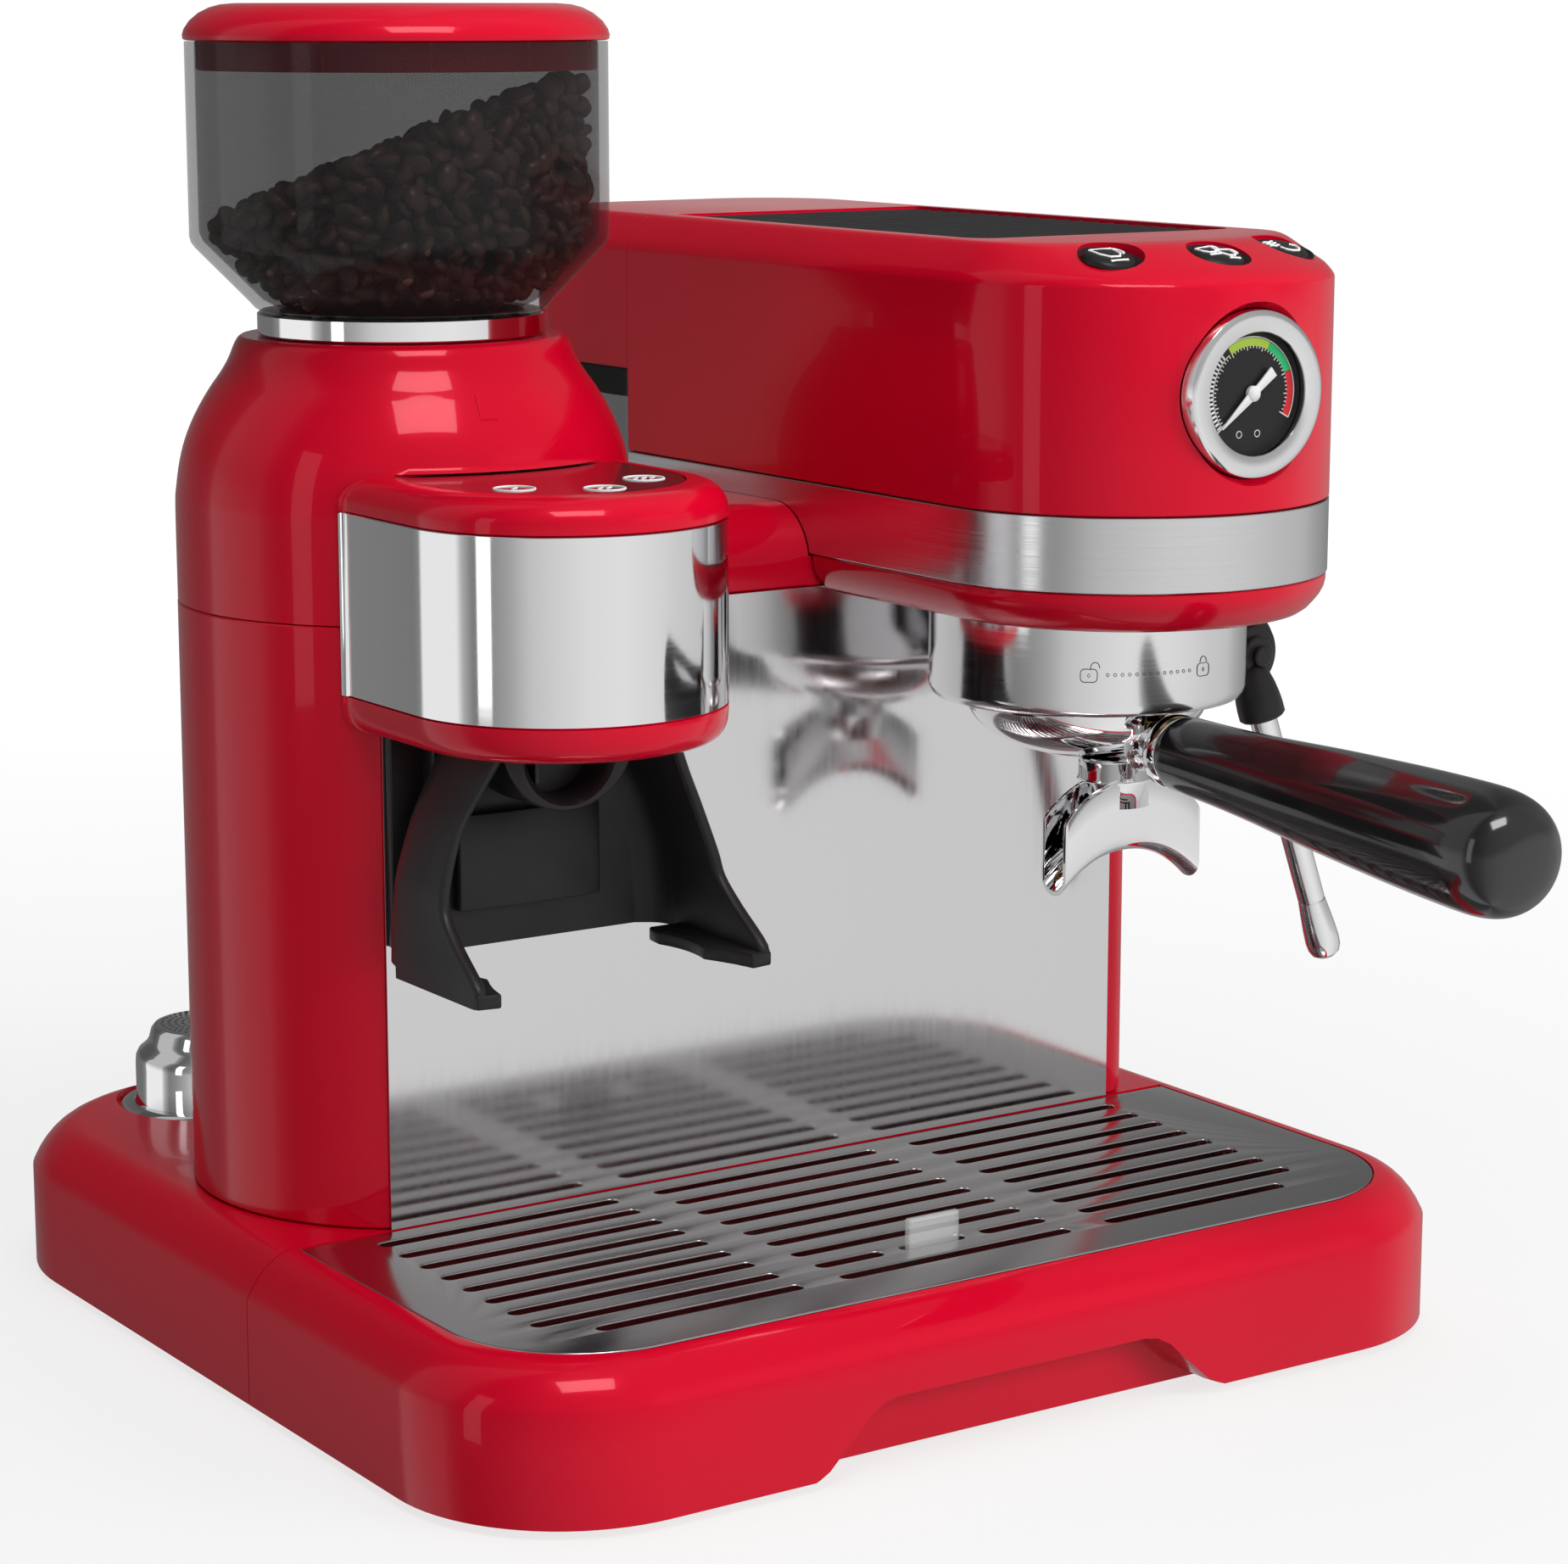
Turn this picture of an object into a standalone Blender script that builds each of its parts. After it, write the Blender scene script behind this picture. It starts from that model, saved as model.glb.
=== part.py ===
"""Espresso machine with a built-in grinder, as separate named solids.

All sizes and places below are millimetres; the mesh helpers scale them to metres.
x runs to the machine's right as it faces you, y runs to its rear and z up. Positions are given from the
foot of the splash panel (y = 0, z = 0 at the bottom edge of the base wall), and one empty, FRAME, carries
everything from there to the origin under the middle of the whole machine.
"""

import math

import bmesh
import bpy
from mathutils import Matrix, Vector

for stale in list(bpy.data.objects):
    bpy.data.objects.remove(stale, do_unlink=True)

MM = 0.001
GAP = 0.3           # clearance between pieces that touch on the real machine
WALL = 3.0          # moulded covers

# Base and drip tray
BASE_HALF = 165.0
BASE_FRONT, BASE_REAR = -134.0, 192.0
BASE_R_FRONT, BASE_R_REAR = 50.0, 64.0
DECK_Z = 41.5       # flat top of the base
# inset from the wall and height, up the shoulder of the base
SHOULDER = ((0.0, 0.0), (0.0, 29.3), (2.9, 33.5), (6.3, 37.2), (10.5, 40.2), (15.0, DECK_Z))
SPLIT = 0.15        # half of the seam between tray and rear base
FOOT_H = 2.5        # the feet stand this far below the base wall
FEET = {"foot_front_left": (-125.0, -80.0), "foot_front_right": (125.0, -80.0),
        "foot_rear_left": (-112.0, 140.0), "foot_rear_right": (112.0, 140.0)}
GRILLE_HALF, GRILLE_FRONT, GRILLE_REAR, GRILLE_R = 149.5, -122.0, -1.5, 38.0
GRILLE_T = 1.4
SLOT_W, SLOT_PITCH, SLOT_FIRST, SLOT_ROWS = 4.6, 11.57, -10.6, 9
SLOT_BLOCKS = ((-130.0, -54.4), (-42.0, 34.2), (47.0, 123.0))
FLOAT_X, FLOAT_ROW = -4.0, 7
BASKET_XY = (-100.0, 153.5)

# Body and tower
TOWER = (-84.0, 52.0)
TOWER_R = 64.0
BODY_RIGHT, BODY_REAR = 138.0, 98.0
BODY_TOP = 208.5
PANEL_T = 0.6
LEDGE_Z = 231.5     # top of the raised ledge between the grinder and the brewing head
HOSE_XY = (100.0, 60.0)

# Grinder
DRUM = (-84.0, -33.0)
DRUM_R = 44.3
FRONT_PARTS_Y = -1.2     # rear limit of everything that hangs in front of the splash panel
BAND_Z = (189.9, 239.7)
DRUM_Z = (180.2, 248.9)
DOME_TOP = 281.7
HOPPER_R, HOPPER_TOP = 58.0, 361.7
LID_TOP = 372.0

# Brewing head
HEAD_X, HEAD_Y, HEAD_R = 76.2, -67.0, 58.2
HEAD_Z = (238.5, 300.8, 309.5)      # shell bottom, shoulder and top
GROUP = (76.2, -54.0)
GAUGE_Z = 270.2
BUTTONS = {"button_one_cup": (46.0, -100.0), "button_two_cups": (76.2, -108.0),
           "button_steam": (106.4, -99.0)}
BUTTON_Z, BUTTON_TILT = 305.8, 16.0
TANK_X = (20.0, 133.0)
TANK_Y = (98.6, 178.0)
TANK_Z = (42.0, 263.0)

# Portafilter and wand
GRIP_START = (76.2, -97.0, 169.0)
GRIP_LEN, GRIP_DROP = 137.0, 3.0    # length, and degrees below level
SPOUT_X, SPOUT_HALF = 77.3, 24.1
WAND_POST = (125.2, -46.0)
WAND_PIVOT = (135.5, -50.8, 185.8)      # rear end of the swivel, whose axis is along Y
WAND_TOP, WAND_TIP = (138.2, -58.0, 168.5), (160.5, -64.0, 93.8)

GRIP_TIP_Y = GRIP_START[1] - GRIP_LEN * math.cos(math.radians(GRIP_DROP))
ORIGIN_Y = -(GRIP_TIP_Y + BASE_REAR) / 2

# colour, roughness, metallic, alpha
FINISH = {
    "red": ((0.52, 0.004, 0.022), 0.22, 0.0, 1.0),
    "polished": ((0.80, 0.80, 0.81), 0.14, 1.0, 1.0),
    "brushed": ((0.62, 0.62, 0.63), 0.32, 1.0, 1.0),
    "chrome": ((0.86, 0.86, 0.87), 0.06, 1.0, 1.0),
    "black": ((0.018, 0.018, 0.020), 0.42, 0.0, 1.0),
    "gloss_black": ((0.012, 0.012, 0.014), 0.14, 0.0, 1.0),
    "rubber": ((0.03, 0.03, 0.03), 0.8, 0.0, 1.0),
    "smoke": ((0.10, 0.10, 0.11), 0.08, 0.0, 0.35),
    "clear": ((0.85, 0.88, 0.88), 0.05, 0.0, 0.3),
    "white": ((0.85, 0.85, 0.85), 0.4, 0.0, 1.0),
    "brass": ((0.62, 0.44, 0.18), 0.3, 1.0, 1.0),
    "aluminium": ((0.55, 0.56, 0.57), 0.45, 1.0, 1.0),
    "green": ((0.02, 0.16, 0.06), 0.5, 0.0, 1.0),
    "plunger": ((0.40, 0.40, 0.42), 0.3, 1.0, 1.0),
    "silicone": ((0.80, 0.78, 0.74), 0.5, 0.0, 1.0),
}

PARTS = bpy.data.collections.new("espresso_machine")
CUTTERS = bpy.data.collections.new("cutters")
for group in (PARTS, CUTTERS):
    bpy.context.scene.collection.children.link(group)
FRAME = bpy.data.objects.new("machine_frame", None)
PARTS.objects.link(FRAME)
FRAME.location = (0, ORIGIN_Y * MM, FOOT_H * MM)
bpy.context.view_layer.update()


# ---------------------------------------------------------------- helpers

def material(name, finish):
    colour, roughness, metallic, alpha = FINISH[finish]
    made = bpy.data.materials.new(name + "_" + finish)
    made.use_nodes = True
    shader = made.node_tree.nodes["Principled BSDF"]
    shader.inputs["Base Color"].default_value = (*colour, 1.0)
    shader.inputs["Roughness"].default_value = roughness
    shader.inputs["Metallic"].default_value = metallic
    shader.inputs["Alpha"].default_value = alpha
    made.diffuse_color = (*colour, alpha)
    return made


def adopt(name, data, at, finish):
    """An object on FRAME: a part when it has a finish, else a hidden cutter or operand."""
    obj = bpy.data.objects.new(name, data)
    if finish:
        PARTS.objects.link(obj)
        data.materials.append(material(name, finish))
    else:
        CUTTERS.objects.link(obj)
        obj.hide_render = True
        obj.display_type = "WIRE"
    obj.parent = FRAME
    obj.location = Vector(at) * MM
    return obj


def from_bmesh(name, bm, at=(0, 0, 0), finish=None):
    """The mesh is written from bm, whose points are measured from at."""
    bmesh.ops.recalc_face_normals(bm, faces=bm.faces)
    bmesh.ops.scale(bm, vec=(MM, MM, MM), verts=bm.verts)
    mesh = bpy.data.meshes.new(name)
    bm.to_mesh(mesh)
    bm.free()
    return adopt(name, mesh, at, finish)


def box(name, low, high, at=(0, 0, 0), finish=None):
    bm = bmesh.new()
    size = [b - a for a, b in zip(low, high)]
    middle = [(a + b) / 2 for a, b in zip(low, high)]
    bmesh.ops.create_cube(bm, size=1.0, matrix=Matrix.Translation(middle) @ Matrix.Diagonal((*size, 1)))
    return from_bmesh(name, bm, at, finish)


AXES = {"Z": lambda u, v, w: (u, v, w), "X": lambda u, v, w: (w, u, v), "Y": lambda u, v, w: (u, w, v)}


def slab(name, outlines, low, high, axis="Z", at=(0, 0, 0), finish=None):
    """Flat outlines extruded along an axis; an outline lists its two other coordinates in order."""
    bm = bmesh.new()
    if not isinstance(outlines[0][0], (tuple, list)):
        outlines = [outlines]
    for outline in outlines:
        ring = [bm.verts.new(AXES[axis](u, v, low)) for u, v in outline]
        face = bm.faces.new(ring)
        lifted = bmesh.ops.extrude_face_region(bm, geom=[face], use_keep_orig=True)
        tops = [item for item in lifted["geom"] if isinstance(item, bmesh.types.BMVert)]
        bmesh.ops.translate(bm, verts=tops, vec=AXES[axis](0, 0, high - low))
    return from_bmesh(name, bm, at, finish)


def loft(name, sections, at=(0, 0, 0), finish=None):
    """Sections are (z, outline) from bottom to top, each outline with the same number of points."""
    bm = bmesh.new()
    rings = [[bm.verts.new((x, y, z)) for x, y in outline] for z, outline in sections]
    for lower, upper in zip(rings, rings[1:]):
        for i in range(len(lower)):
            j = (i + 1) % len(lower)
            bm.faces.new((lower[i], lower[j], upper[j], upper[i]))
    bm.faces.new(rings[0][::-1])
    bm.faces.new(rings[-1])
    return from_bmesh(name, bm, at, finish)


def turned(name, profile, steps=32, at=(0, 0, 0), aim=None, finish=None):
    """A profile of (radius, height) points spun about local Z, which aim = (x, y, z) degrees turns.

    A profile that starts and ends on the axis is solid there; any other one is closed into a ring.
    """
    mesh = bpy.data.meshes.new(name)
    points = [(r * MM, 0, h * MM) for r, h in profile]
    edges = [(i, i + 1) for i in range(len(points) - 1)]
    if profile[0][0] > 0:
        edges.append((len(points) - 1, 0))
    mesh.from_pydata(points, edges, [])
    obj = adopt(name, mesh, at, finish)
    spin = obj.modifiers.new("spin", "SCREW")
    spin.steps = spin.render_steps = steps
    spin.use_merge_vertices = True
    spin.merge_threshold = 1e-6
    if aim:
        obj.rotation_euler = [math.radians(a) for a in aim]
    return obj


def tube(name, points, radius, at=(0, 0, 0), finish=None):
    curve = bpy.data.curves.new(name, "CURVE")
    curve.dimensions = "3D"
    curve.bevel_depth = radius * MM
    curve.bevel_resolution = 2
    curve.use_fill_caps = True
    line = curve.splines.new("POLY")
    line.points.add(len(points) - 1)
    for knot, place in zip(line.points, points):
        knot.co = (*(Vector(place) * MM), 1)
    return adopt(name, curve, at, finish)


def combine(obj, other, how):
    step = obj.modifiers.new(how.lower() + "_" + other.name, "BOOLEAN")
    step.operation = how
    step.object = other
    return obj


def cut(obj, *others):
    for other in others:
        combine(obj, other, "DIFFERENCE")
    return obj


def join(obj, *others):
    for other in others:
        combine(obj, other, "UNION")
    return obj


# ---------------------------------------------------------------- outlines, all anticlockwise

def arc(cx, cy, r, start, end, n, ry=None):
    ry = r if ry is None else ry
    angles = [math.radians(start + (end - start) * i / n) for i in range(n + 1)]
    return [(cx + r * math.cos(a), cy + ry * math.sin(a)) for a in angles]


def rounded(x0, x1, y0, y1, r_front, r_rear, n=5):
    return (arc(x0 + r_front, y0 + r_front, r_front, 180, 270, n)
            + arc(x1 - r_front, y0 + r_front, r_front, 270, 360, n)
            + arc(x1 - r_rear, y1 - r_rear, r_rear, 0, 90, n)
            + arc(x0 + r_rear, y1 - r_rear, r_rear, 90, 180, n))


def front_u(half, front, back, r, n=6):
    """Straight back edge, rounded front corners."""
    return ([(-half, back)] + arc(-half + r, front + r, r, 180, 270, n)
            + arc(half - r, front + r, r, 270, 360, n) + [(half, back)])


def rear_u(half, front, rear, r, n=6):
    return ([(half, front)] + arc(half - r, rear - r, r, 0, 90, n)
            + arc(-half + r, rear - r, r, 90, 180, n) + [(-half, front)])


def stadium(cx, cy, r, back, n=18, ry=None):
    """Half-round front, straight sides and a flat back."""
    return [(cx - r, back)] + arc(cx, cy, r, 180, 360, n, ry) + [(cx + r, back)]


def strip(outer, inner):
    """The band between two open outlines of the same kind."""
    return outer + inner[::-1]


def body_outline(inset=0.0, n=20):
    """The tower's round back and side run into the straight-sided body."""
    r = TOWER_R - inset
    front, rear, right = inset, BODY_REAR - inset, BODY_RIGHT - inset
    corner = 8.0 - inset
    reach_front = math.sqrt(r * r - (TOWER[1] - front) ** 2)
    reach_rear = math.sqrt(r * r - (rear - TOWER[1]) ** 2)
    start = math.degrees(math.atan2(rear - TOWER[1], reach_rear))
    end = 180 + math.degrees(math.atan2(TOWER[1] - front, reach_front))
    return (arc(right - corner, front + corner, corner, 270, 360, 3)
            + arc(right - corner, rear - corner, corner, 0, 90, 3)
            + arc(TOWER[0], TOWER[1], r, start, end, n))


# ---------------------------------------------------------------- base

def make_base():
    plinth = slab("base_plinth", rounded(-155.3, 155.3, -116.3, 183.0, 36, 66), -0.5, 2.5, finish="black")
    for name, (x, y) in FEET.items():
        cut(plinth, turned("hole_" + name, [(0, 5), (3.3, 5), (3.3, -5), (0, -5)], 12, (x, y, 0)))
        turned(name, [(0, 2.2), (3, 2.2), (3, -0.8), (9, -0.8), (8.4, -FOOT_H), (0, -FOOT_H)], 16,
               (x, y, 0), finish="rubber")

    rear = loft("base_rear", [(z, rear_u(BASE_HALF - i, SPLIT, BASE_REAR - i, BASE_R_REAR - i))
                              for i, z in SHOULDER], finish="red")
    inside = BASE_HALF - WALL
    cut(rear, slab("base_hollow", rear_u(inside, WALL, BASE_REAR - WALL, BASE_R_REAR - WALL), -5, 36.5))
    cut(rear, box("plinth_way", (-155.8, -5, -5), (155.8, 10, 2.8)))
    cut(rear, turned("basket_recess", [(0, 50), (29.2, 50), (29.2, 38.5), (0, 38.5)], 28, (*BASKET_XY, 0)))
    cut(rear, turned("hose_hole", [(0, 50), (6, 50), (6, 30), (0, 30)], 12, (*HOSE_XY, 0)))


def make_tray():
    tray = loft("drip_tray", [(z, front_u(BASE_HALF - i, BASE_FRONT + i, -SPLIT, BASE_R_FRONT - i))
                              for i, z in SHOULDER], finish="red")
    seat = GRILLE_HALF + GAP
    cut(tray, slab("grille_seat", front_u(seat, GRILLE_FRONT - GAP, 5, GRILLE_R + GAP),
                   DECK_Z - GRILLE_T - GAP, 50))
    cut(tray, slab("basin", rounded(-146, 146, -118, -6, 35, 8), 5, 45))
    cut(tray, slab("plinth_room", front_u(155.8, -116.8, 5, 36), -5, 2.8))
    grip_cut = [(-72, -4), (66, -4), (62, 0), (41, 18), (-49, 18), (-68, 0)]
    cut(tray, slab("finger_cut", grip_cut, -140, -123, "Y"))


def slot_outline(x0, x1, y, width=SLOT_W):
    r = width / 2
    return arc(x0 + r, y, r, 90, 270, 4) + arc(x1 - r, y, r, -90, 90, 4)


def grille_slots():
    slots = []
    for row in range(SLOT_ROWS):
        y = SLOT_FIRST - SLOT_PITCH * row
        for block, (x0, x1) in enumerate(SLOT_BLOCKS):
            if row == SLOT_ROWS - 1:
                x0 = max(x0, -117.5)
                x1 = min(x1, 111.0)
            if block == 1 and row == FLOAT_ROW:
                slots.append(slot_outline(x0, FLOAT_X - 16.5, y))
                slots.append(slot_outline(FLOAT_X - 10.5, FLOAT_X + 10.5, y))
                slots.append(slot_outline(FLOAT_X + 16.5, x1, y))
            else:
                slots.append(slot_outline(x0, x1, y))
    return slots


def make_grille():
    plate = slab("drip_grille", front_u(GRILLE_HALF, GRILLE_FRONT, GRILLE_REAR, GRILLE_R),
                 DECK_Z - GRILLE_T, DECK_Z, finish="brushed")
    cut(plate, slab("slots", grille_slots(), 30, 50))
    y = SLOT_FIRST - SLOT_PITCH * FLOAT_ROW
    tab = box("tray_float", (-8.5, -1.0, 6), (8.5, 1.0, 44.2), (FLOAT_X, y, 5.3), finish="clear")
    join(tab, box("float_body", (-12, -5.5, 0), (12, 5.5, 7), (FLOAT_X, y, 5.3)))


def make_stored_basket():
    turned("stored_basket", [(0, 65), (16.5, 65), (18.2, 63.5), (19.2, 60), (22.4, 56.5), (23, 53),
                             (23, 40.8),
                             (28, 40.3), (28, 38.8), (21.8, 38.8), (21.8, 53), (18, 59.5), (16.8, 62.8),
                             (0, 63.6)], 28, (*BASKET_XY, 0), finish="polished")


# ---------------------------------------------------------------- body

def make_body():
    shell = slab("body_shell", body_outline(), DECK_Z + GAP, BODY_TOP, finish="red")
    cut(shell, slab("body_hollow", body_outline(WALL), 30, 220))
    cut(shell, box("rear_access", (-33, 90, 56), (11, 110, 194)))
    box("splash_panel", (-121, -GAP - PANEL_T, DECK_Z + GAP), (128, -GAP, BODY_TOP), finish="polished")

    ledge = [(0, 208.8), (0, 213.5), *arc(18, 213.5, 18, 180, 90, 6), (97.85, LEDGE_Z), (97.85, 208.8)]
    top = slab("body_top", ledge, -40, 17.7, "X", finish="red")
    lower = [(138, 8), (138, 90), (130, 97.85), (17, 97.85), (17, 0), (130, 0)]
    join(top, slab("ledge_floor", lower, 208.8, 217.3))
    cut(top, turned("tower_room", [(0, 260), (TOWER_R + GAP, 260), (TOWER_R + GAP, 200), (0, 200)], 40,
                    (*TOWER, 0)))
    cut(top, turned("hose_way", [(0, 260), (5, 260), (5, 200), (0, 200)], 12, (*HOSE_XY, 0)))


def make_rear_fittings():
    cover = box("back_cover", (-38, 98.3, 50), (16, 100.8, 200), finish="black")
    cut(cover, turned("gland_hole", [(0, 20), (8, 20), (8, -20), (0, -20)], 16, (-11, 98, 68), (90, 0, 0)))
    cut(cover, box("switch_hole", (-20.5, 90, 85.5), (-1.5, 110, 114.5)))
    turned("cable_gland", [(7.7, 92), (7.7, 101.1), (11, 101.1), (11, 104), (8, 105), (6, 112),
                           (4, 112), (4, 92)][::-1], 16, (-11, 0, 68), (-90, 0, 0), finish="black")
    rocker = [(-3.5, -13.2), (-3.5, 13.2), (2.6, 13.2), (1.0, 0), (2.6, -13.2)]
    switch = slab("power_switch", rocker, -8.7, 8.7, "X", (-11, 100.8, 100), finish="gloss_black")
    switch.rotation_euler = (math.radians(-6), 0, 0)


def tank_outline(inset=0.0):
    return rounded(TANK_X[0] + inset, TANK_X[1] - inset, TANK_Y[0] + inset, TANK_Y[1] - inset,
                   4 - inset, 28 - inset)


def make_tank():
    tank = slab("water_tank", tank_outline(), *TANK_Z, finish="smoke")
    cut(tank, slab("tank_hollow", tank_outline(2.5), TANK_Z[0] + 2.5, 280))
    cut(tank, turned("valve_hole", [(0, 50), (8.3, 50), (8.3, 30), (0, 30)], 16, (76, 138, 0)))
    turned("tank_valve", [(0, 52), (5, 52), (10, 49), (10, 44.8), (8, 44.8), (8, 42.2), (0, 42.2)], 16,
           (76, 138, 0), finish="white")

    def lid_outline(inset, top=0.0):
        side = HEAD_R - inset - top
        rear = TANK_Y[1] - inset - top
        r = 38 - inset - top / 2
        return ([(HEAD_X + side, 98.15)] + arc(HEAD_X + side - r, rear - r, r, 0, 90, 6)
                + arc(HEAD_X - side + r, rear - r, r, 90, 180, 6) + [(HEAD_X - side, 98.15)])

    lid = loft("tank_lid", [(263.3, lid_outline(0)), (HEAD_Z[1], lid_outline(0)),
                            (HEAD_Z[2], lid_outline(0, 8))], finish="red")
    room = [(x, max(y, 98.15 + WALL)) for x, y in lid_outline(WALL)]
    roof = [(x, max(y, 98.15 + WALL)) for x, y in lid_outline(WALL, 8)]
    cut(lid, loft("lid_hollow", [(250, room), (HEAD_Z[1] - WALL, room), (HEAD_Z[2] - WALL, roof)]))


# ---------------------------------------------------------------- grinder

def make_grinder_tower():
    dome = [(45.4, DOME_TOP), (49.5, 272.3), (56.7, 262), (61.2, 252), (63.2, 241.6), (63.9, 235),
            (63.9, 208.8), (60.9, 208.8), (60.9, 235), (58.2, 251.3), (53.9, 260.2), (46.8, 270.5),
            (42.5, 278.7), (36, 278.7), (36, DOME_TOP)]
    housing = turned("grinder_housing", dome, 32, (*TOWER, 0), finish="red")
    cut(housing, box("drum_room", (-135, -80, 200), (-10, -0.9, DRUM_Z[1] + GAP)))
    turned("hopper_ring", [(40, 288.4), (40, 282), (34, 282), (34, 288.4)], 32, (*TOWER, 0), finish="chrome")
    hopper = [(HOPPER_R, HOPPER_TOP), (HOPPER_R, 307), (40.3, 288.7), (33, 288.7), (33, 262.3),
              (30, 262.3), (30, 287), (37.6, 290.6), (55.3, 308.5), (55.3, HOPPER_TOP)]
    turned("hopper", hopper, 32, (*TOWER, 0), finish="smoke")
    lid = [(0, LID_TOP), (49.4, LID_TOP), (56.5, 367), (58.5, 364), (58.5, 362), (55, 362), (55, 354),
           (53, 354), (53, 367.5), (0, 369)]
    turned("hopper_lid", lid, 32, (*TOWER, 0), finish="red")
    turned("burr_upper", [(31, 262), (31, 249), (24, 249), (20.5, 262)], 28, (*TOWER, 0), finish="plunger")
    turned("burr_lower", [(10, 260), (22.4, 247.5), (22.4, 243), (4.3, 243), (4.3, 260)], 28, (*TOWER, 0),
           finish="plunger")
    turned("burr_shaft", [(0, 261.5), (3.9, 261.5), (3.9, 242.7), (8, 242.7), (8, 239), (3.9, 239),
                          (3.9, 200.3), (0, 200.3)], 16, (*TOWER, 0), finish="plunger")
    turned("grinder_motor", [(0, 200), (9, 200), (9, 192), (30, 192), (30, 120), (9, 120), (9, 114),
                             (0, 114)], 24, (*TOWER, 0), finish="aluminium")


def drum_outline(r, n=18):
    """Round in front, with straight sides; the left one runs back until it meets the round tower."""
    reach = TOWER_R + 1.0
    ends = [math.degrees(math.acos(-math.sqrt(reach ** 2 - (TOWER[1] - FRONT_PARTS_Y) ** 2) / reach)),
            math.degrees(math.acos(-r / reach))]
    hug = arc(*TOWER, reach, -ends[0], -ends[1], 3)
    return hug + stadium(DRUM[0], DRUM[1], r, FRONT_PARTS_Y, n)[1:]


def make_drum():
    lower, upper = BAND_Z
    low, high = DRUM_Z
    core = DRUM_R - 1.2
    rise = [(DRUM_R - 5.4, low), (DRUM_R - 2.1, low + 1.6), (DRUM_R - 0.4, low + 4.5), (DRUM_R, low + 8),
            (DRUM_R, lower), (core, lower + 0.2), (core, upper - 0.2), (DRUM_R, upper), (DRUM_R, high - 7),
            (DRUM_R - 1.1, high - 4), (DRUM_R - 3.6, high - 1.2), (DRUM_R - 7.3, high)]
    drum = loft("dose_drum", [(z, drum_outline(r)) for r, z in rise], finish="red")
    cut(drum, slab("drum_hollow", stadium(*DRUM, 38.8, 5), low + 3.5, high - 3.6))
    cut(drum, box("chute_way", (DRUM[0] - 21.6, -37.4, 170), (DRUM[0] + 21.6, 5, 188)))
    cut(drum, slab("touch_seat", stadium(DRUM[0], -30, 34.9, -3.2), high - 1.4, high + 4))
    slab("dose_band", strip(drum_outline(DRUM_R), drum_outline(DRUM_R - 0.9)), lower + GAP, upper - GAP,
         finish="polished")
    slab("touch_panel", stadium(DRUM[0], -30, 34.6, -3.5), high - 1.1, high - 0.1, finish="gloss_black")


def u_shape(cx, cz, r, top, n=12):
    return [(cx - r, top)] + arc(cx, cz, r, 180, 360, n) + [(cx + r, top)]


def make_chute():
    x = DRUM[0]
    chute = slab("grind_chute", u_shape(x, 181.7, 21, 209), -36.9, -15.8, "Y", finish="black")
    cut(chute, slab("mouth", u_shape(x, 176.9, 12.7, 196), -50, -26, "Y"))
    cut(chute, box("duct", (x - 11.5, -34, 184), (x + 11.5, -26, 215)))


# height, half distance between the arms, and how far forward the arm's front edge is
FORK_ARM = ((118.2, 45.5, -64.5), (123.5, 45.5, -64.5), (132.3, 45.0, -52.8), (139.2, 44.4, -45.4),
            (146.0, 43.3, -43.5), (159.7, 38.7, -42.2), (169.5, 33.7, -44.0), (179.9, 28.4, -46.9))
FORK_T = 3.5
FORK_WALL_Y = -12.5      # front of the wall between the arms
FORK_LOW = 121.3         # lower edge of that wall


def make_fork():
    """The cradle that the portafilter hangs in under the grinder."""
    x, top = DRUM[0], FORK_ARM[-1][0]
    fork = box("dose_fork", (x - 36.5, -4, FORK_LOW), (x + 36.5, FRONT_PARTS_Y, top), finish="black")
    join(fork, box("fork_block", (x - 26.5, -10, FORK_LOW), (x + 26.5, -3, top)))
    join(fork, box("fork_panel", (x - 22.3, -15.5, 132), (x + 22.3, -11, 158)))
    sections = []
    for z, spread, front in FORK_ARM:
        inner = spread - FORK_T
        outside = [(-spread, front), (-spread, -22), (-spread + 3, -14), (-spread + 10, FORK_WALL_Y + 3)]
        inside = [(-inner, front), (-inner, -23), (-inner + 2, -16.5), (-inner + 7.5, FORK_WALL_Y)]
        path = outside + [(-u, v) for u, v in outside[::-1]] + [(-u, v) for u, v in inside] + inside[::-1]
        sections.append((z, [(x + u, v) for u, v in path[::-1]]))
    cradle = loft("fork_cradle", sections)
    cut(cradle, box("fork_under", (x - 60, -21.5, 110), (x + 60, 0, FORK_LOW)))
    join(fork, cradle)
    for side in (-1, 1):
        foot = [(45.5, -22), (45.5, -65.5), (38.6, -66.5), (37.1, -59.6), (33.3, -49.8), (32.5, -24),
                (34, -22)]
        join(fork, slab("fork_foot", [(x + side * u, v) for u, v in foot], FORK_ARM[0][0], 122.1))


# ---------------------------------------------------------------- brewing head

def head_outline(inset=0.0, back=97.85):
    return stadium(HEAD_X, HEAD_Y, HEAD_R - inset, back)


def head_roof(inset=0.0, back=97.85):
    """The flat top: 8 narrower at each side, and drawn back at the front for the sloping button panel."""
    return stadium(HEAD_X, HEAD_Y + 5, HEAD_R - 8 - inset, back, ry=33 - inset)


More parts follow.
